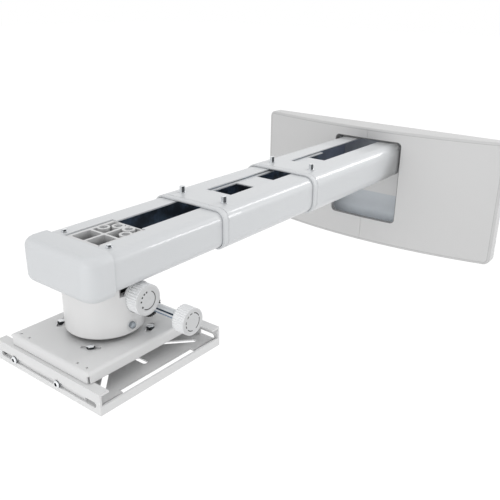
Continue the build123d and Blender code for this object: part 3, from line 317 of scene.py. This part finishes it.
def strip(first, last, segments=8):
    """Band of quads between two outlines with round corners, (height, inset, size, corner)."""
    bpy.ops.object.select_all(action="DESELECT")
    bpy.ops.mesh.primitive_plane_add(size=1)
    piece = bpy.context.object
    bpy.ops.object.mode_set(mode="EDIT")
    for number, (height, inset, (width, depth), corner) in enumerate((first, last)):
        if number:
            bpy.ops.mesh.primitive_plane_add(size=1)
        bpy.ops.transform.resize(value=(width - 2 * inset, depth - 2 * inset, 1))
        bpy.ops.mesh.bevel(offset=corner - inset, segments=segments, affect="VERTICES")
        bpy.ops.mesh.delete(type="ONLY_FACE")
        bpy.ops.mesh.select_all(action="DESELECT")
        pick(piece, lambda vertex: abs(vertex.co.z) < 1e-7 or number == 0)
        bpy.ops.transform.translate(value=(0, 0, height or 1e-6))
    bpy.ops.mesh.select_all(action="SELECT")
    bpy.ops.mesh.bridge_edge_loops()
    bpy.ops.object.mode_set(mode="OBJECT")
    return piece


def closed_ring(name, stages, size, corner):
    """Closed ring through (height, inset) stages of one outline with round corners."""
    loops = [(height, inset, size, corner) for height, inset in stages]
    ring = joined(name, *(strip(a, b) for a, b in zip(loops, loops[1:] + loops[:1])))
    bpy.ops.object.mode_set(mode="EDIT")
    bpy.ops.mesh.select_all(action="SELECT")
    bpy.ops.mesh.remove_doubles(threshold=5e-6)
    bpy.ops.mesh.normals_make_consistent(inside=False)
    bpy.ops.object.mode_set(mode="OBJECT")
    return ring


guide_plastic = moulded("guide_plastic", tone=0.65, blue=0.045)
rim, lip, wall, bore = 0.010, 0.025, 0.0021, 0.0030
outer_round, inner_round = 0.0012, 0.0006
groove_width, groove_depth, shoulder = 0.0006, 0.0007, 0.0002
guide_stages = [
    (groove_width, 0.0), (rim - outer_round, 0.0),
    (rim - outer_round / 3, outer_round / 3), (rim, outer_round),
    (rim, bore - inner_round), (rim - inner_round, bore),
    (-lip, bore), (-lip, wall), (shoulder, wall), (0.0, groove_depth),
]
for name, node, tube, body in (
    ("rear_guide", "rear_bezel", "rear_tube", "lift"),
    ("mid_guide", "mid_bezel", "mid_tube", "mid_arm"),
):
    low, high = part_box(node)
    size = (high.x - low.x, high.z - low.z)
    guide = closed_ring(name, guide_stages, size, tube_corners[tube])
    guide.data.transform(Matrix((
        (1, 0, 0, 0), (0, 0, -1, low.y + rim), (0, 1, 0, (low.z + high.z) / 2), (0, 0, 0, 1),
    )))
    paint(guide, guide_plastic)
    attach(guide, body)
    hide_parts(node)
dress(moulded("pad_plastic", tone=0.02), "mid_glides", "front_glides")


# Clamp screws: zinc-plated hex screws that press the guides on the inner tube, two on each
# mouth, each with a plain washer. The head screws at the front end are the same, but low.
def plated(name, tone=0.55, roughness=0.24, blue=0.05, metallic=1.0):
    """Plated steel with faint turning marks."""
    steel = Finish(name)
    marks = steel.noise(300.0)
    steel.set(
        Base_Color=steel.mix(marks, grey(tone * 0.85, blue), grey(tone, blue)),
        Metallic=metallic,
        Roughness=marks * 0.12 + roughness,
        Normal=steel.bump(marks, 0.00004, 0.4),
    )
    return steel


def turned(name, profile, sides=48):
    """Ring drawn out edge by edge along (height, radius) points, with closed ends."""
    bpy.ops.object.select_all(action="DESELECT")
    bpy.ops.mesh.primitive_circle_add(vertices=sides, radius=profile[0][1])
    piece = bpy.context.object
    piece.name = name
    bpy.ops.object.mode_set(mode="EDIT")
    bpy.ops.mesh.select_all(action="SELECT")
    bpy.ops.transform.translate(value=(0, 0, profile[0][0]))
    for (height, radius), (next_height, next_radius) in zip(profile, profile[1:]):
        step = (0, 0, next_height - height)
        bpy.ops.mesh.extrude_region_move(TRANSFORM_OT_translate={"value": step})
        change = next_radius / radius
        bpy.ops.transform.resize(value=(change, change, 1))
    if profile[0] != profile[-1]:
        bpy.ops.mesh.edge_face_add()
        pick(piece, lambda vertex: vertex.index < sides)
        bpy.ops.mesh.edge_face_add()
    bpy.ops.mesh.select_all(action="SELECT")
    bpy.ops.mesh.remove_doubles(threshold=1e-6)
    bpy.ops.mesh.normals_make_consistent(inside=False)
    bpy.ops.object.mode_set(mode="OBJECT")
    return piece


def hex_head(name, flat, height):
    """Hex head: a turned blank whose sides are drawn out to the corners, chamfered on top."""
    top = 0.92
    head = turned(name, [(0, flat), (height, flat), (height, top * flat)], 24)
    bpy.ops.object.mode_set(mode="EDIT")
    for turn in (0, 1, 2):
        reach = 1 / cos(radians(30 - 15 * turn))

        def in_row(vertex):
            angle = round(degrees(atan2(vertex.co.y, vertex.co.x)) / 15) % 4
            outer = hypot(vertex.co.x, vertex.co.y) > (1 + top) / 2 * flat
            return outer and min(angle, 4 - angle) == turn

        pick(head, in_row)
        bpy.ops.transform.resize(value=(reach, reach, 1))
        pick(head, lambda vertex: in_row(vertex) and vertex.co.z > height / 2)
        bpy.ops.transform.translate(value=(0, 0, -(reach - top) * flat * tan(radians(30))))
    bpy.ops.object.mode_set(mode="OBJECT")
    return head


def pointed(axis):
    """The turn that points a piece's Z along an axis."""
    return Vector(axis).to_track_quat("Z", "Y").to_matrix().to_4x4()


def set_copy(pattern, name, body, node, place, axis=(0, 0, 1)):
    """Puts a copy of a pattern, its Z along an axis, on a body in place of a node."""
    piece = bpy.data.objects.new(name, pattern.data.copy())
    bpy.context.collection.objects.link(piece)
    piece.data.transform(Matrix.Translation(place) @ pointed(axis))
    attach(piece, body)
    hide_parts(node)


def paint_head(screw):
    """Plated screw: a painted highlight on top, painted shade on the sides and a painted dark
    reflection on every other side.
    """
    paint(screw, zinc, lit_zinc, dull_zinc)
    top_slope, chamfer_slope = 0.6, 0.3
    for polygon in screw.data.polygons:
        slope = abs(polygon.normal.z)
        side = floor(atan2(polygon.center.y, polygon.center.x) / radians(60)) % 2
        mid_shade = side or slope > chamfer_slope
        polygon.material_index = 1 if slope > top_slope else 2 if mid_shade else 0


def seated(name, head, washer, washer_height, shank, shank_radius):
    """Screw of a head, a washer and a shank; the seat of the washer is at the origin."""
    head.data.transform(Matrix.Translation((0, 0, washer_height)))
    edge = 0.15 * washer_height
    disc = turned("disc", [
        (0, shank_radius), (0, washer - edge), (edge, washer), (washer_height - edge, washer),
        (washer_height, washer - edge), (washer_height, shank_radius), (0, shank_radius),
    ])
    point = 0.0006
    stem = turned("stem", [
        (-shank, shank_radius * 0.8), (point - shank, shank_radius),
        (washer_height, shank_radius),
    ])
    return joined(name, head, disc, stem)


def hex_screw(name, flat, height, *rest):
    """Hex head on the washer and shank whose sizes follow."""
    return seated(name, hex_head(name, flat, height), *rest)


# Three tones of one zinc plating, a dark, a lit and a middle one, stand in for light on screw
# heads: painted highlights on tops, painted dark reflections and painted shade on sides. The
# dark and the middle tone are also the plain plating of other screws.
zinc = plated("zinc_plating", tone=0.12, roughness=0.22, blue=0.10)
lit_zinc = plated("lit_zinc", tone=0.92, roughness=0.16, blue=0.04, metallic=0.35)
dull_zinc = plated("dull_zinc", tone=0.75, roughness=0.30, metallic=0.8)
washer_height = 0.001
clamp_flat, clamp_washer, clamp_shank = 0.0036, 0.005, 0.003
for node, tube, body, share, head_height in (
    ("rear_clamp_bolts", "rear_tube", "lift", 1.0, 0.0085),
    ("mid_clamp_bolts", "mid_tube", "mid_arm", 1.0, 0.0085),
    ("head_bolts", "front_tube", "front_arm", 0.82, 0.0026),
):
    low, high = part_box(node)
    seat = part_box(tube)[1].z
    screw = hex_screw(
        "screw", share * clamp_flat, head_height,
        share * clamp_washer, washer_height, seat - low.z, clamp_shank,
    )
    paint_head(screw)
    for side, x in (("left", low.x + clamp_washer), ("right", high.x - clamp_washer)):
        place = (x, (low.y + high.y) / 2, seat)
        set_copy(screw, f"{node[:-1]}_{side}", body, node, place)
    bpy.data.objects.remove(screw)


# Flange screws: four larger hex screws through the wall plate's lift slots. They hold the
# arm's flange at its height, and they have nuts behind the plate.
low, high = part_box("flange_bolts")
flange_shank = 0.0035
flange_flat, flange_head = 1.6 * flange_shank, 1.3 * flange_shank
flange_washer = 2 * flange_shank
nut_height = 0.0065
flange_row = 0.020
seat_y = low.y + flange_head + washer_height
screw = hex_screw(
    "screw", flange_flat, flange_head,
    flange_washer, washer_height, high.y - seat_y, flange_shank,
)
nut = hex_head("nut", flange_flat, nut_height)
nut.data.transform(Matrix.Translation((0, 0, seat_y - high.y)))
screw = joined("screw", screw, nut)
paint_head(screw)
for side, across in (("left", -1), ("right", 1)):
    for row, rise in (("low", -1), ("high", 1)):
        z = (low.z + high.z) / 2 + rise * flange_row
        place = (across * (high.x - flange_washer), seat_y, z)
        name = f"flange_bolt_{side}_{row}"
        set_copy(screw, name, "lift", "flange_bolts", place, (0, -1, 0))
bpy.data.objects.remove(screw)


# End cap: one white moulding with broad round corners, pushed over the end of the arm. Its
# rim is rounded where it ends on the tube, and it is cut out below for the column.
low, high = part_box("end_cap")
cap_corner, cap_edge, cap_rim = 0.020, 0.011, 0.0013
cap_gap, cap_depth = 0.0003, 0.015
column_gap, column_cut = 0.0003, 0.02
close = 1e-5


def same(edge, axis):
    """Whether both ends of an edge are at one place along an axis."""
    return abs(edge.verts[0].co[axis] - edge.verts[1].co[axis]) < close


def in_front(edge):
    return all(vertex.co.y < low.y + close for vertex in edge.verts)


def at_rear(edge):
    return all(vertex.co.y > high.y - close for vertex in edge.verts)


bpy.ops.object.select_all(action="DESELECT")
bpy.ops.mesh.primitive_cube_add(size=1)
cap = bpy.context.object
cap.data.transform(Matrix.Translation((low + high) / 2) @ Matrix.Diagonal((*(high - low), 1)))
bpy.ops.object.mode_set(mode="EDIT")
pick(cap, lambda edge: in_front(edge) and same(edge, 0), "edges")
bpy.ops.mesh.bevel(offset=cap_corner, segments=14, affect="EDGES")
pick(cap, lambda edge: same(edge, 2) and not at_rear(edge), "edges")
bpy.ops.mesh.bevel(offset=cap_edge, segments=10, affect="EDGES")
pick(cap, at_rear, "edges")
bpy.ops.mesh.bevel(offset=cap_rim, segments=4, affect="EDGES")
pick(cap, lambda face: face.normal.y > 0.99 and face.calc_area() > 0.001, "faces")
bpy.ops.mesh.inset(thickness=high.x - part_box("front_tube")[1].x - cap_gap - cap_rim)
bpy.ops.mesh.extrude_region_move(TRANSFORM_OT_translate={"value": (0, -cap_depth, 0)})
bpy.ops.mesh.select_all(action="SELECT")
bpy.ops.mesh.normals_make_consistent(inside=False)
bpy.ops.object.mode_set(mode="OBJECT")
column_low, column_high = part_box("column")
cut_height = column_high.z + column_gap - column_cut / 2
bpy.ops.mesh.primitive_cylinder_add(
    vertices=96, radius=column_high.x + column_gap, depth=column_cut,
    location=(0, (column_low.y + column_high.y) / 2, cut_height),
)
cutter = bpy.context.object
bpy.context.view_layer.objects.active = cap
cut = cap.modifiers.new("column_cut", "BOOLEAN")
cut.operation, cut.object, cut.solver = "DIFFERENCE", cutter, "EXACT"
bpy.ops.object.modifier_apply(modifier="column_cut")
bpy.data.objects.remove(cutter)
paint(cap, moulded("cap_plastic", tone=0.66, blue=0.045))
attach(joined("arm_cap", cap), "front_arm")
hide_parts("end_cap")


# Ribbed casting: sand-cast alloy painted white, with painted shade that darkens it towards
# the floors of its cells. Four socket screws in its bosses hold the column below.
casting = powder_coat("casting_paint", tone=0.60)
casting_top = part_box("rib_core")[1].z
shade_full_depth, shade_start_depth = 0.022, 0.0008
height = casting.xyz()[2]
# Painted shade: dark alloy colour deep in the cells, white near the top.
out_of_shade = casting.step(height, casting_top - shade_full_depth, casting_top - shade_start_depth)
sand = casting.noise(420.0, 3.0, 0.6)
shade_colour = casting.mix(sand, grey(0.035, 0.06), grey(0.075, 0.06))
casting.set(
    Base_Color=casting.mix(out_of_shade, shade_colour, casting.colour()),
    Normal=casting.bump(sand, 0.0002, 0.5),
)
dress(casting, "rib_core")
dress(dull_zinc, "core_screws")


# Column: an aluminium housing turned and milled, painted white outside. Painted shade
# makes the recess behind the upper knob and the low cut under the arm black, with a paler
# painted shade at the cut's front.
low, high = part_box("column")
head_y = (low.y + high.y) / 2
skin_depth, skin_full = 0.0016, 0.0008
cut_foot, cut_top = 0.0128, 0.0120
lighter_shade_front, lighter_shade_rear, lighter_shade_share = -0.0075, -0.0055, 0.5
column_coat = powder_coat("column_coat", tone=0.70, blue=0.0)
x, y, z = column_coat.xyz()
y = y - head_y
from_axis = (x * x + y * y).math("SQRT")
# Painted shade: black inside the outline above the cut's foot, paler grey at its front.
skin = column_coat.step(from_axis, high.x - skin_depth, high.x - skin_full)
below_cut = column_coat.step(z, high.z - cut_foot, high.z - cut_top, 1.0, 0.0)
unshaded = skin.math("MAXIMUM", below_cut)
lighter_shade = column_coat.step(y, lighter_shade_front, lighter_shade_rear, lighter_shade_share, 0.0)
shade_colour = column_coat.mix(lighter_shade, grey(0.010, 0.1), grey(1.0))
column_coat.set(Base_Color=column_coat.mix(unshaded, shade_colour, column_coat.colour()))
dress(column_coat, "column")


# Lock screw: a black socket screw that stands in the low cut of the column. It locks the
# bearing of the upper knob, and a hex key reaches it from the right.
black = plated("black_oxide", tone=0.02, roughness=0.32, blue=0.1, metallic=0.6)
lock_radius, lock_height, lock_side = 0.0036, 0.0042, 0.0034
lock_top, lock_socket, lock_floor = 0.88 * lock_radius, 0.5 * lock_radius, 0.0018
lock_place = (0.0395, head_y - 0.0035, high.z - 0.0085)
lock_screw = turned("lock_screw", [
    (0, lock_radius), (lock_side, lock_radius), (lock_height, lock_top),
    (lock_height, lock_socket), (lock_floor, lock_socket),
], 24)
lock_screw.data.transform(Matrix.Translation(lock_place) @ pointed((1, 0, 0)))
paint(lock_screw, black)
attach(joined("lock_screw", lock_screw), "front_arm")


# Pitch pins: hex-headed pins of blue-plated steel, one screwed into each side of the
# column. Their plain ends carry the cradle, which pitches on them.
low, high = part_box("pitch_pins")
pin_flat, pin_head = 0.0038, 0.0045
pin_radius, pin_length = 0.004, 0.0177
pin_point, pin_point_radius = 0.0008, 0.0032
stem = [(-pin_length, pin_point_radius), (pin_point - pin_length, pin_radius), (0, pin_radius)]
pin = joined("pin", hex_head("pin", pin_flat, pin_head), turned("stem", stem))
paint(pin, plated("blue_zinc", tone=0.42, roughness=0.2, blue=0.16))
for side, name in ((-1, "left"), (1, "right")):
    place = (side * (high.x - pin_head), head_y, (low.z + high.z) / 2)
    axis = (side, 0, 0)
    set_copy(pin, f"pitch_pin_{name}", "front_arm", "pitch_pins", place, axis)
bpy.data.objects.remove(pin)


# Knobs: two alike, moulded in white plastic over the ends of the pinion's shaft and of the
# rod. Their sides have fine flutes, and the dished faces, darker with painted shade, carry a
# printed ring of dashes.
knob_plastic = moulded("knob_plastic", tone=0.84, blue=0.02)
face_shade_plastic = moulded("knob_face_shade", tone=0.60, blue=0.02, grain_depth=0.00012)
ink = moulded("ink", tone=0.006)
flutes = 36
flute_steps = 8
flute_depths = (0.0011, 0.0008, 0.0002)
pole, socket_end = 0.0004, 0.0153
hub_start, hub_wall, hub_draft = 0.0005, 0.0025, 0.0002
hollow, side_wall, side_draft = 0.0100, 0.0036, 0.0004
foot_round, skirt_edge = 0.0012, 0.0004
rim_band, rim_round = 0.0012, 0.0009
dish_slope, print_slope = 0.5, 0.9
lip_radius, lip_middle, dish_radius, dish_depth = 0.0152, 0.0148, 0.0144, 0.0006
ring_outer, ring_inner, dot_inner, dot_angle = 0.0121, 0.0109, 0.0099, 15
dimple, dimple_floor, dimple_depth = 0.0042, 0.0038, 0.0004
tilt_marks = ((-125, 60), (94, 106), (115, 127), (139, 151), (167, 179), (-152, -138))
roll_marks = (
    (-62, 12), (22, 78), (92, 112), (124, 140), (160, 178), (-174, -156), (-138, -92),
)


def make_knob(name, node, body, bore, marks, back, radius, skirt=0.0, skirt_height=0.0016):
    """Knob in place of a node, its foot a little out from the back of the node's box."""
    low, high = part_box(node)
    length = high.x - low.x - back
    face = length - dish_depth
    rim = length - rim_band
    foot = radius + skirt
    knob = turned(name, [
        (socket_end - back, pole), (socket_end - back, bore), (hub_start, bore),
        (hub_start, bore + hub_wall), (hollow, bore + hub_wall + hub_draft),
        (hollow, radius - side_wall - side_draft), (0, radius - side_wall),
        (0, foot - foot_round), (foot_round, foot), (skirt_height, foot),
        (skirt_height + skirt_edge, radius), (rim, radius), (rim + 0.0002, radius),
        (length - 0.0007, radius), (length - 0.0002, radius - 0.0003),
        (length, radius - rim_round), (length, lip_radius), (length - 0.0002, lip_middle),
        (face, dish_radius), (face, ring_outer), (face, ring_inner), (face, dot_inner),
        (face, dimple), (face - dimple_depth, dimple_floor), (face - dimple_depth, pole),
    ], flutes * flute_steps)
    bpy.ops.object.mode_set(mode="EDIT")
    for turn, depth in enumerate(flute_depths):

        def in_flute(vertex):
            angle = atan2(vertex.co.y, vertex.co.x) / (2 * pi)
            place = round(angle * flutes * flute_steps) % flute_steps
            outer = hypot(vertex.co.x, vertex.co.y) > radius - rim_round
            level = skirt_height + skirt_edge / 2 < vertex.co.z < rim + 1e-5
            return outer and level and min(place, flute_steps - place) == turn

        pick(knob, in_flute)
        bpy.ops.transform.resize(value=(1 - depth / radius, 1 - depth / radius, 1))
    bpy.ops.object.mode_set(mode="OBJECT")
    paint(knob, knob_plastic, ink, face_shade_plastic)
    for polygon in knob.data.polygons:
        place = polygon.center
        reach = hypot(place.x, place.y)
        angle = degrees(atan2(place.y, place.x))
        # Painted shade: the dished face gets a darker tone than the sides.
        if polygon.normal.z > dish_slope:
            polygon.material_index = 2
        for start, end in marks:
            inner = dot_inner if end - start < dot_angle else ring_inner
            printed = inner < reach < ring_outer and start <= angle <= end
            if polygon.normal.z > print_slope and printed:
                polygon.material_index = 1
    knob = joined(name, knob)
    middle_y, middle_z = (low.y + high.y) / 2, (low.z + high.z) / 2
    knob.data.transform(Matrix((
        (0, 0, 1, low.x + back), (1, 0, 0, middle_y), (0, 1, 0, middle_z), (0, 0, 0, 1),
    )))
    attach(knob, body)
    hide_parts(node)


make_knob(
    "tilt_knob_grip", "tilt_knob", "tilt_knob_body", bore=0.00305, marks=tilt_marks,
    back=0.0030, radius=0.01925, skirt=0.0008, skirt_height=0.0042,
)
make_knob(
    "roll_knob_grip", "roll_knob", "roll_knob_body", bore=0.00605, marks=roll_marks,
    back=0.0055, radius=0.0173,
)


# Works of the head: pinion, toothed cradle, yoke and lever, milled from steel and blackened.
# The nut is brass, and the yoke's shaft is plain ground steel.
blackened = plated("blackened_steel", tone=0.09, roughness=0.4, blue=0.06)
dress(blackened, "pitch_cradle", "roll_yoke", "roll_lever", "tilt_pinion")
dark_brass, bright_brass = (0.52, 0.34, 0.10, 1.0), (0.66, 0.46, 0.17, 1.0)
brass = Finish("brass")
turning = brass.noise(260.0)
brass.set(
    Base_Color=brass.mix(turning, dark_brass, bright_brass),
    Metallic=1.0,
    Roughness=turning * 0.15 + 0.25,
)
dress(brass, "roll_nut")
dress(plated("ground_steel", tone=0.5, roughness=0.2), "roll_shaft")


# Rod of the lower knob: drawn steel, polished, with painted reflections in dark and blue
# streaks along it.
# The toothed ring that locks it is black and stands just outside the column.
low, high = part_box("roll_knob")
rod_y, rod_z = (low.y + high.y) / 2, (low.z + high.z) / 2
dark_reflection_tone, dark_reflection_start, dark_reflection_end = (0.02, 0.035, 0.06, 1.0), radians(15), radians(36)
blue_reflection_tone, blue_reflection_start, blue_reflection_end = (0.22, 0.31, 0.44, 1.0), radians(-32), radians(-10)
rod = plated("polished_rod", tone=0.88, roughness=0.12, blue=0.06, metallic=0.3)
_, y, z = rod.xyz()
around = (z - rod_z).math("ARCTAN2", rod_y - y)
# Painted reflections: a dark and a blue streak at given angles round the rod.
dark_reflection = rod.band(around, dark_reflection_start, dark_reflection_end, edge=0.04)
blue_reflection = rod.band(around, blue_reflection_start, blue_reflection_end, edge=0.08)
with_dark_reflection = rod.mix(dark_reflection, rod.colour(), dark_reflection_tone)
rod.set(Base_Color=rod.mix(blue_reflection, with_dark_reflection, blue_reflection_tone))
dress(rod, "roll_screw")
dress(black, "lock_ring")


# Tray: sheet steel folded down on four sides, powder coated. Four low hex screws with dark
# washers, their tops lit by a painted highlight, run in its arc slots, and four small screws
# hold it to the yoke's foot.
dress(sheet_coat, "tray")
dress(zinc, "foot_screws")
low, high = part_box("yaw_bolts")
yaw_flat, yaw_head, yaw_washer, yaw_shank = 0.0042, 0.0018, 0.005, 0.003
yaw_below_top = 0.004
top_slope, top_height = 0.4, washer_height + 0.001
yaw_circle, yaw_first = 0.057, radians(32)
seat_gap = 0.0001
dark_plating_and_shade = plated("dark_plating_and_shade", tone=0.05, roughness=0.25, blue=0.2, metallic=0.7)
seat = high.z - yaw_below_top - washer_height + seat_gap
screw = hex_screw(
    "screw", yaw_flat, yaw_head, yaw_washer, washer_height, seat - low.z, yaw_shank,
)
paint(screw, dark_plating_and_shade, lit_zinc)
# Painted highlight: the tops of the heads are bright on the dark screws.
for polygon in screw.data.polygons:
    lit_top = polygon.normal.z > top_slope and polygon.center.z > top_height
    polygon.material_index = int(lit_top)
for number in range(4):
    angle = yaw_first + number * pi / 2
    place = (yaw_circle * cos(angle), head_y + yaw_circle * sin(angle), seat)
    set_copy(screw, f"yaw_bolt_{number + 1}", "yaw_body", "yaw_bolts", place)
bpy.data.objects.remove(screw)


# Projector frame: turntable and two channel rails, with an angle bar at each side, all
# sheet steel with the same coat. Screws and welds hold the frame together.
dress(sheet_coat, "turntable", "front_rail", "rear_rail", "side_rail_left", "side_rail_right")
dress(zinc, "rail_screws")


# Projector plate: folded sheet that slides sideways between the rails. Four socket screws
# on washers, in the slots of the rails, clamp it; their bright faces are a painted highlight,
# and their sockets and the washers' rims are dark with painted shade.
dress(sheet_coat, "projector_plate")
low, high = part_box("slide_screws")
slide_radius, slide_side, slide_height, slide_edge = 0.0041, 0.0008, 0.0014, 0.0007
slide_socket, slide_floor = 0.0024, 0.0002
slide_washer, slide_shank, slide_length = 0.005, 0.0025, 0.0067
slide_below_top, side_slope = 0.0035, 0.9
head = turned("head", [
    (0, slide_radius), (slide_side, slide_radius), (slide_height, slide_radius - slide_edge),
    (slide_height, slide_socket), (slide_floor, slide_socket),
], 24)
screw = seated("screw", head, slide_washer, washer_height, slide_length, slide_shank)
paint(screw, lit_zinc, dark_plating_and_shade)
# Painted shade in the sockets and on the washers' rims, painted highlight elsewhere.
for polygon in screw.data.polygons:
    reach = hypot(polygon.center.x, polygon.center.y)
    socket_shade = reach < slide_socket + close
    rim_shade = reach > slide_radius and abs(polygon.normal.z) < side_slope
    polygon.material_index = int(socket_shade or rim_shade)
seat = slide_below_top + washer_height - seat_gap
for end, y, out in (("front", low.y + seat, -1), ("rear", high.y - seat, 1)):
    for side, x in (("left", low.x + slide_washer), ("right", high.x - slide_washer)):
        place = (x, y, (low.z + high.z) / 2)
        name = f"slide_screw_{end}_{side}"
        set_copy(screw, name, "slider", "slide_screws", place, (0, out, 0))
bpy.data.objects.remove(screw)


# Studio: a pale floor far below the arm and a pale world, both plain white to the camera
# and in mirrors. Five soft lamps light the arm from above, from in front and from its side.
floor_height, floor_size = -0.75, 40.0
floor_glow, floor_share = 1.1, 0.88
world_light, world_seen = 0.70, 1.0
bpy.ops.object.select_all(action="DESELECT")
bpy.ops.mesh.primitive_plane_add(size=floor_size)
ground = bpy.context.object
ground.name = "floor"
ground.data.transform(Matrix.Translation((0, 0, floor_height)))
floor_paint = Finish("floor_paint")
floor_paint.set(Base_Color=grey(0.85), Roughness=0.9)
rays = floor_paint.node("ShaderNodeLightPath", output="Is Camera Ray")
glossy = Socket(floor_paint, rays.output.node.outputs["Is Glossy Ray"])
through = Socket(floor_paint, rays.output.node.outputs["Is Transmission Ray"])
seen = rays.math("MAXIMUM", glossy).math("MAXIMUM", through)
glow_values = {"Color": grey(1.0), "Strength": floor_glow}
glow = floor_paint.node("ShaderNodeEmission", {}, glow_values)
flat_paint = Socket(floor_paint, floor_paint.shader.outputs[0])
blend = floor_paint.node("ShaderNodeMixShader", {}, [seen * floor_share, flat_paint, glow])
surface = floor_paint.tree.nodes["Material Output"].inputs["Surface"]
floor_paint.tree.links.new(blend.output, surface)
ground.data.materials.append(floor_paint.material)

world = bpy.data.worlds.new("studio")
bpy.context.scene.world = world
world.use_nodes = True
tree = world.node_tree
rays = tree.nodes.new("ShaderNodeLightPath")
seen = rays.outputs["Is Camera Ray"]
for kind in ("Is Glossy Ray", "Is Transmission Ray"):
    either = tree.nodes.new("ShaderNodeMath")
    either.operation = "MAXIMUM"
    tree.links.new(seen, either.inputs[0])
    tree.links.new(rays.outputs[kind], either.inputs[1])
    seen = either.outputs[0]
strength = tree.nodes.new("ShaderNodeMapRange")
tree.links.new(seen, strength.inputs["Value"])
strength.inputs["To Min"].default_value = world_light
strength.inputs["To Max"].default_value = world_seen
sky = tree.nodes["Background"]
tree.links.new(strength.outputs[0], sky.inputs["Strength"])
sky.inputs["Color"].default_value = (1.0, 1.0, 1.0, 1.0)


def lamp(name, place, target, size, power, length=0.0):
    """Soft lamp that points at a target; a length makes it a strip along the arm."""
    light = bpy.data.lights.new(name, "AREA")
    light.shape = "RECTANGLE"
    light.size, light.size_y = length or size, size
    light.energy = power
    made = bpy.data.objects.new(name, light)
    bpy.context.collection.objects.link(made)
    back = (Vector(place) - Vector(target)).normalized()
    along = (Vector((0, 1, 0)) - back * back.y).normalized()
    turn = Matrix((along, back.cross(along), back)).transposed().to_4x4()
    made.matrix_world = Matrix.Translation(place) @ turn


middle = (0.0, -0.45, 0.05)
side_middle, upper_edge = (0.0, -0.35, 0.06), (0.06, -0.2, 0.08)
lamp("top_lamp", (0.2, -0.7, 2.0), middle, size=2.0, power=8.5)
lamp("front_lamp", (-0.9, -2.3, 0.8), middle, size=1.2, power=2.4)
lamp("low_lamp", (0.6, -2.4, 0.0), middle, size=1.2, power=10.0)
lamp("side_lamp", (1.3, 0.6, 0.36), side_middle, size=0.4, power=4.8)
lamp("edge_lamp", (0.6, 1.0, 0.9), upper_edge, size=0.28, power=5.5, length=0.66)


# Camera: it stands in front of the arm's end, to the right and above it, and looks down
# along the arm. Its place, turn and focal length were found from the arm's straight edges.
picture_width, focal_pixels, sensor_width = 500, 640.63, 36.0
camera_place = (0.57255, -1.17380, 0.34971)
view_azimuth, view_height, view_roll = radians(37.37), radians(21.69), radians(0.88)
level_reach = cos(view_height)
back = Vector((
    sin(view_azimuth) * level_reach, -cos(view_azimuth) * level_reach, sin(view_height),
))
level = Vector((0, 0, 1)).cross(back).normalized()
upright = back.cross(level)
right = cos(view_roll) * level + sin(view_roll) * upright
up = -sin(view_roll) * level + cos(view_roll) * upright
camera = bpy.data.objects.new("camera", bpy.data.cameras.new("camera"))
bpy.context.collection.objects.link(camera)
camera.data.sensor_width = sensor_width
camera.data.lens = focal_pixels / picture_width * sensor_width
camera.data.clip_start = 0.01
turn = Matrix((right, up, back)).transposed().to_4x4()
camera.matrix_world = Matrix.Translation(camera_place) @ turn
bpy.context.scene.camera = camera
bpy.context.scene.view_settings.view_transform = "Standard"
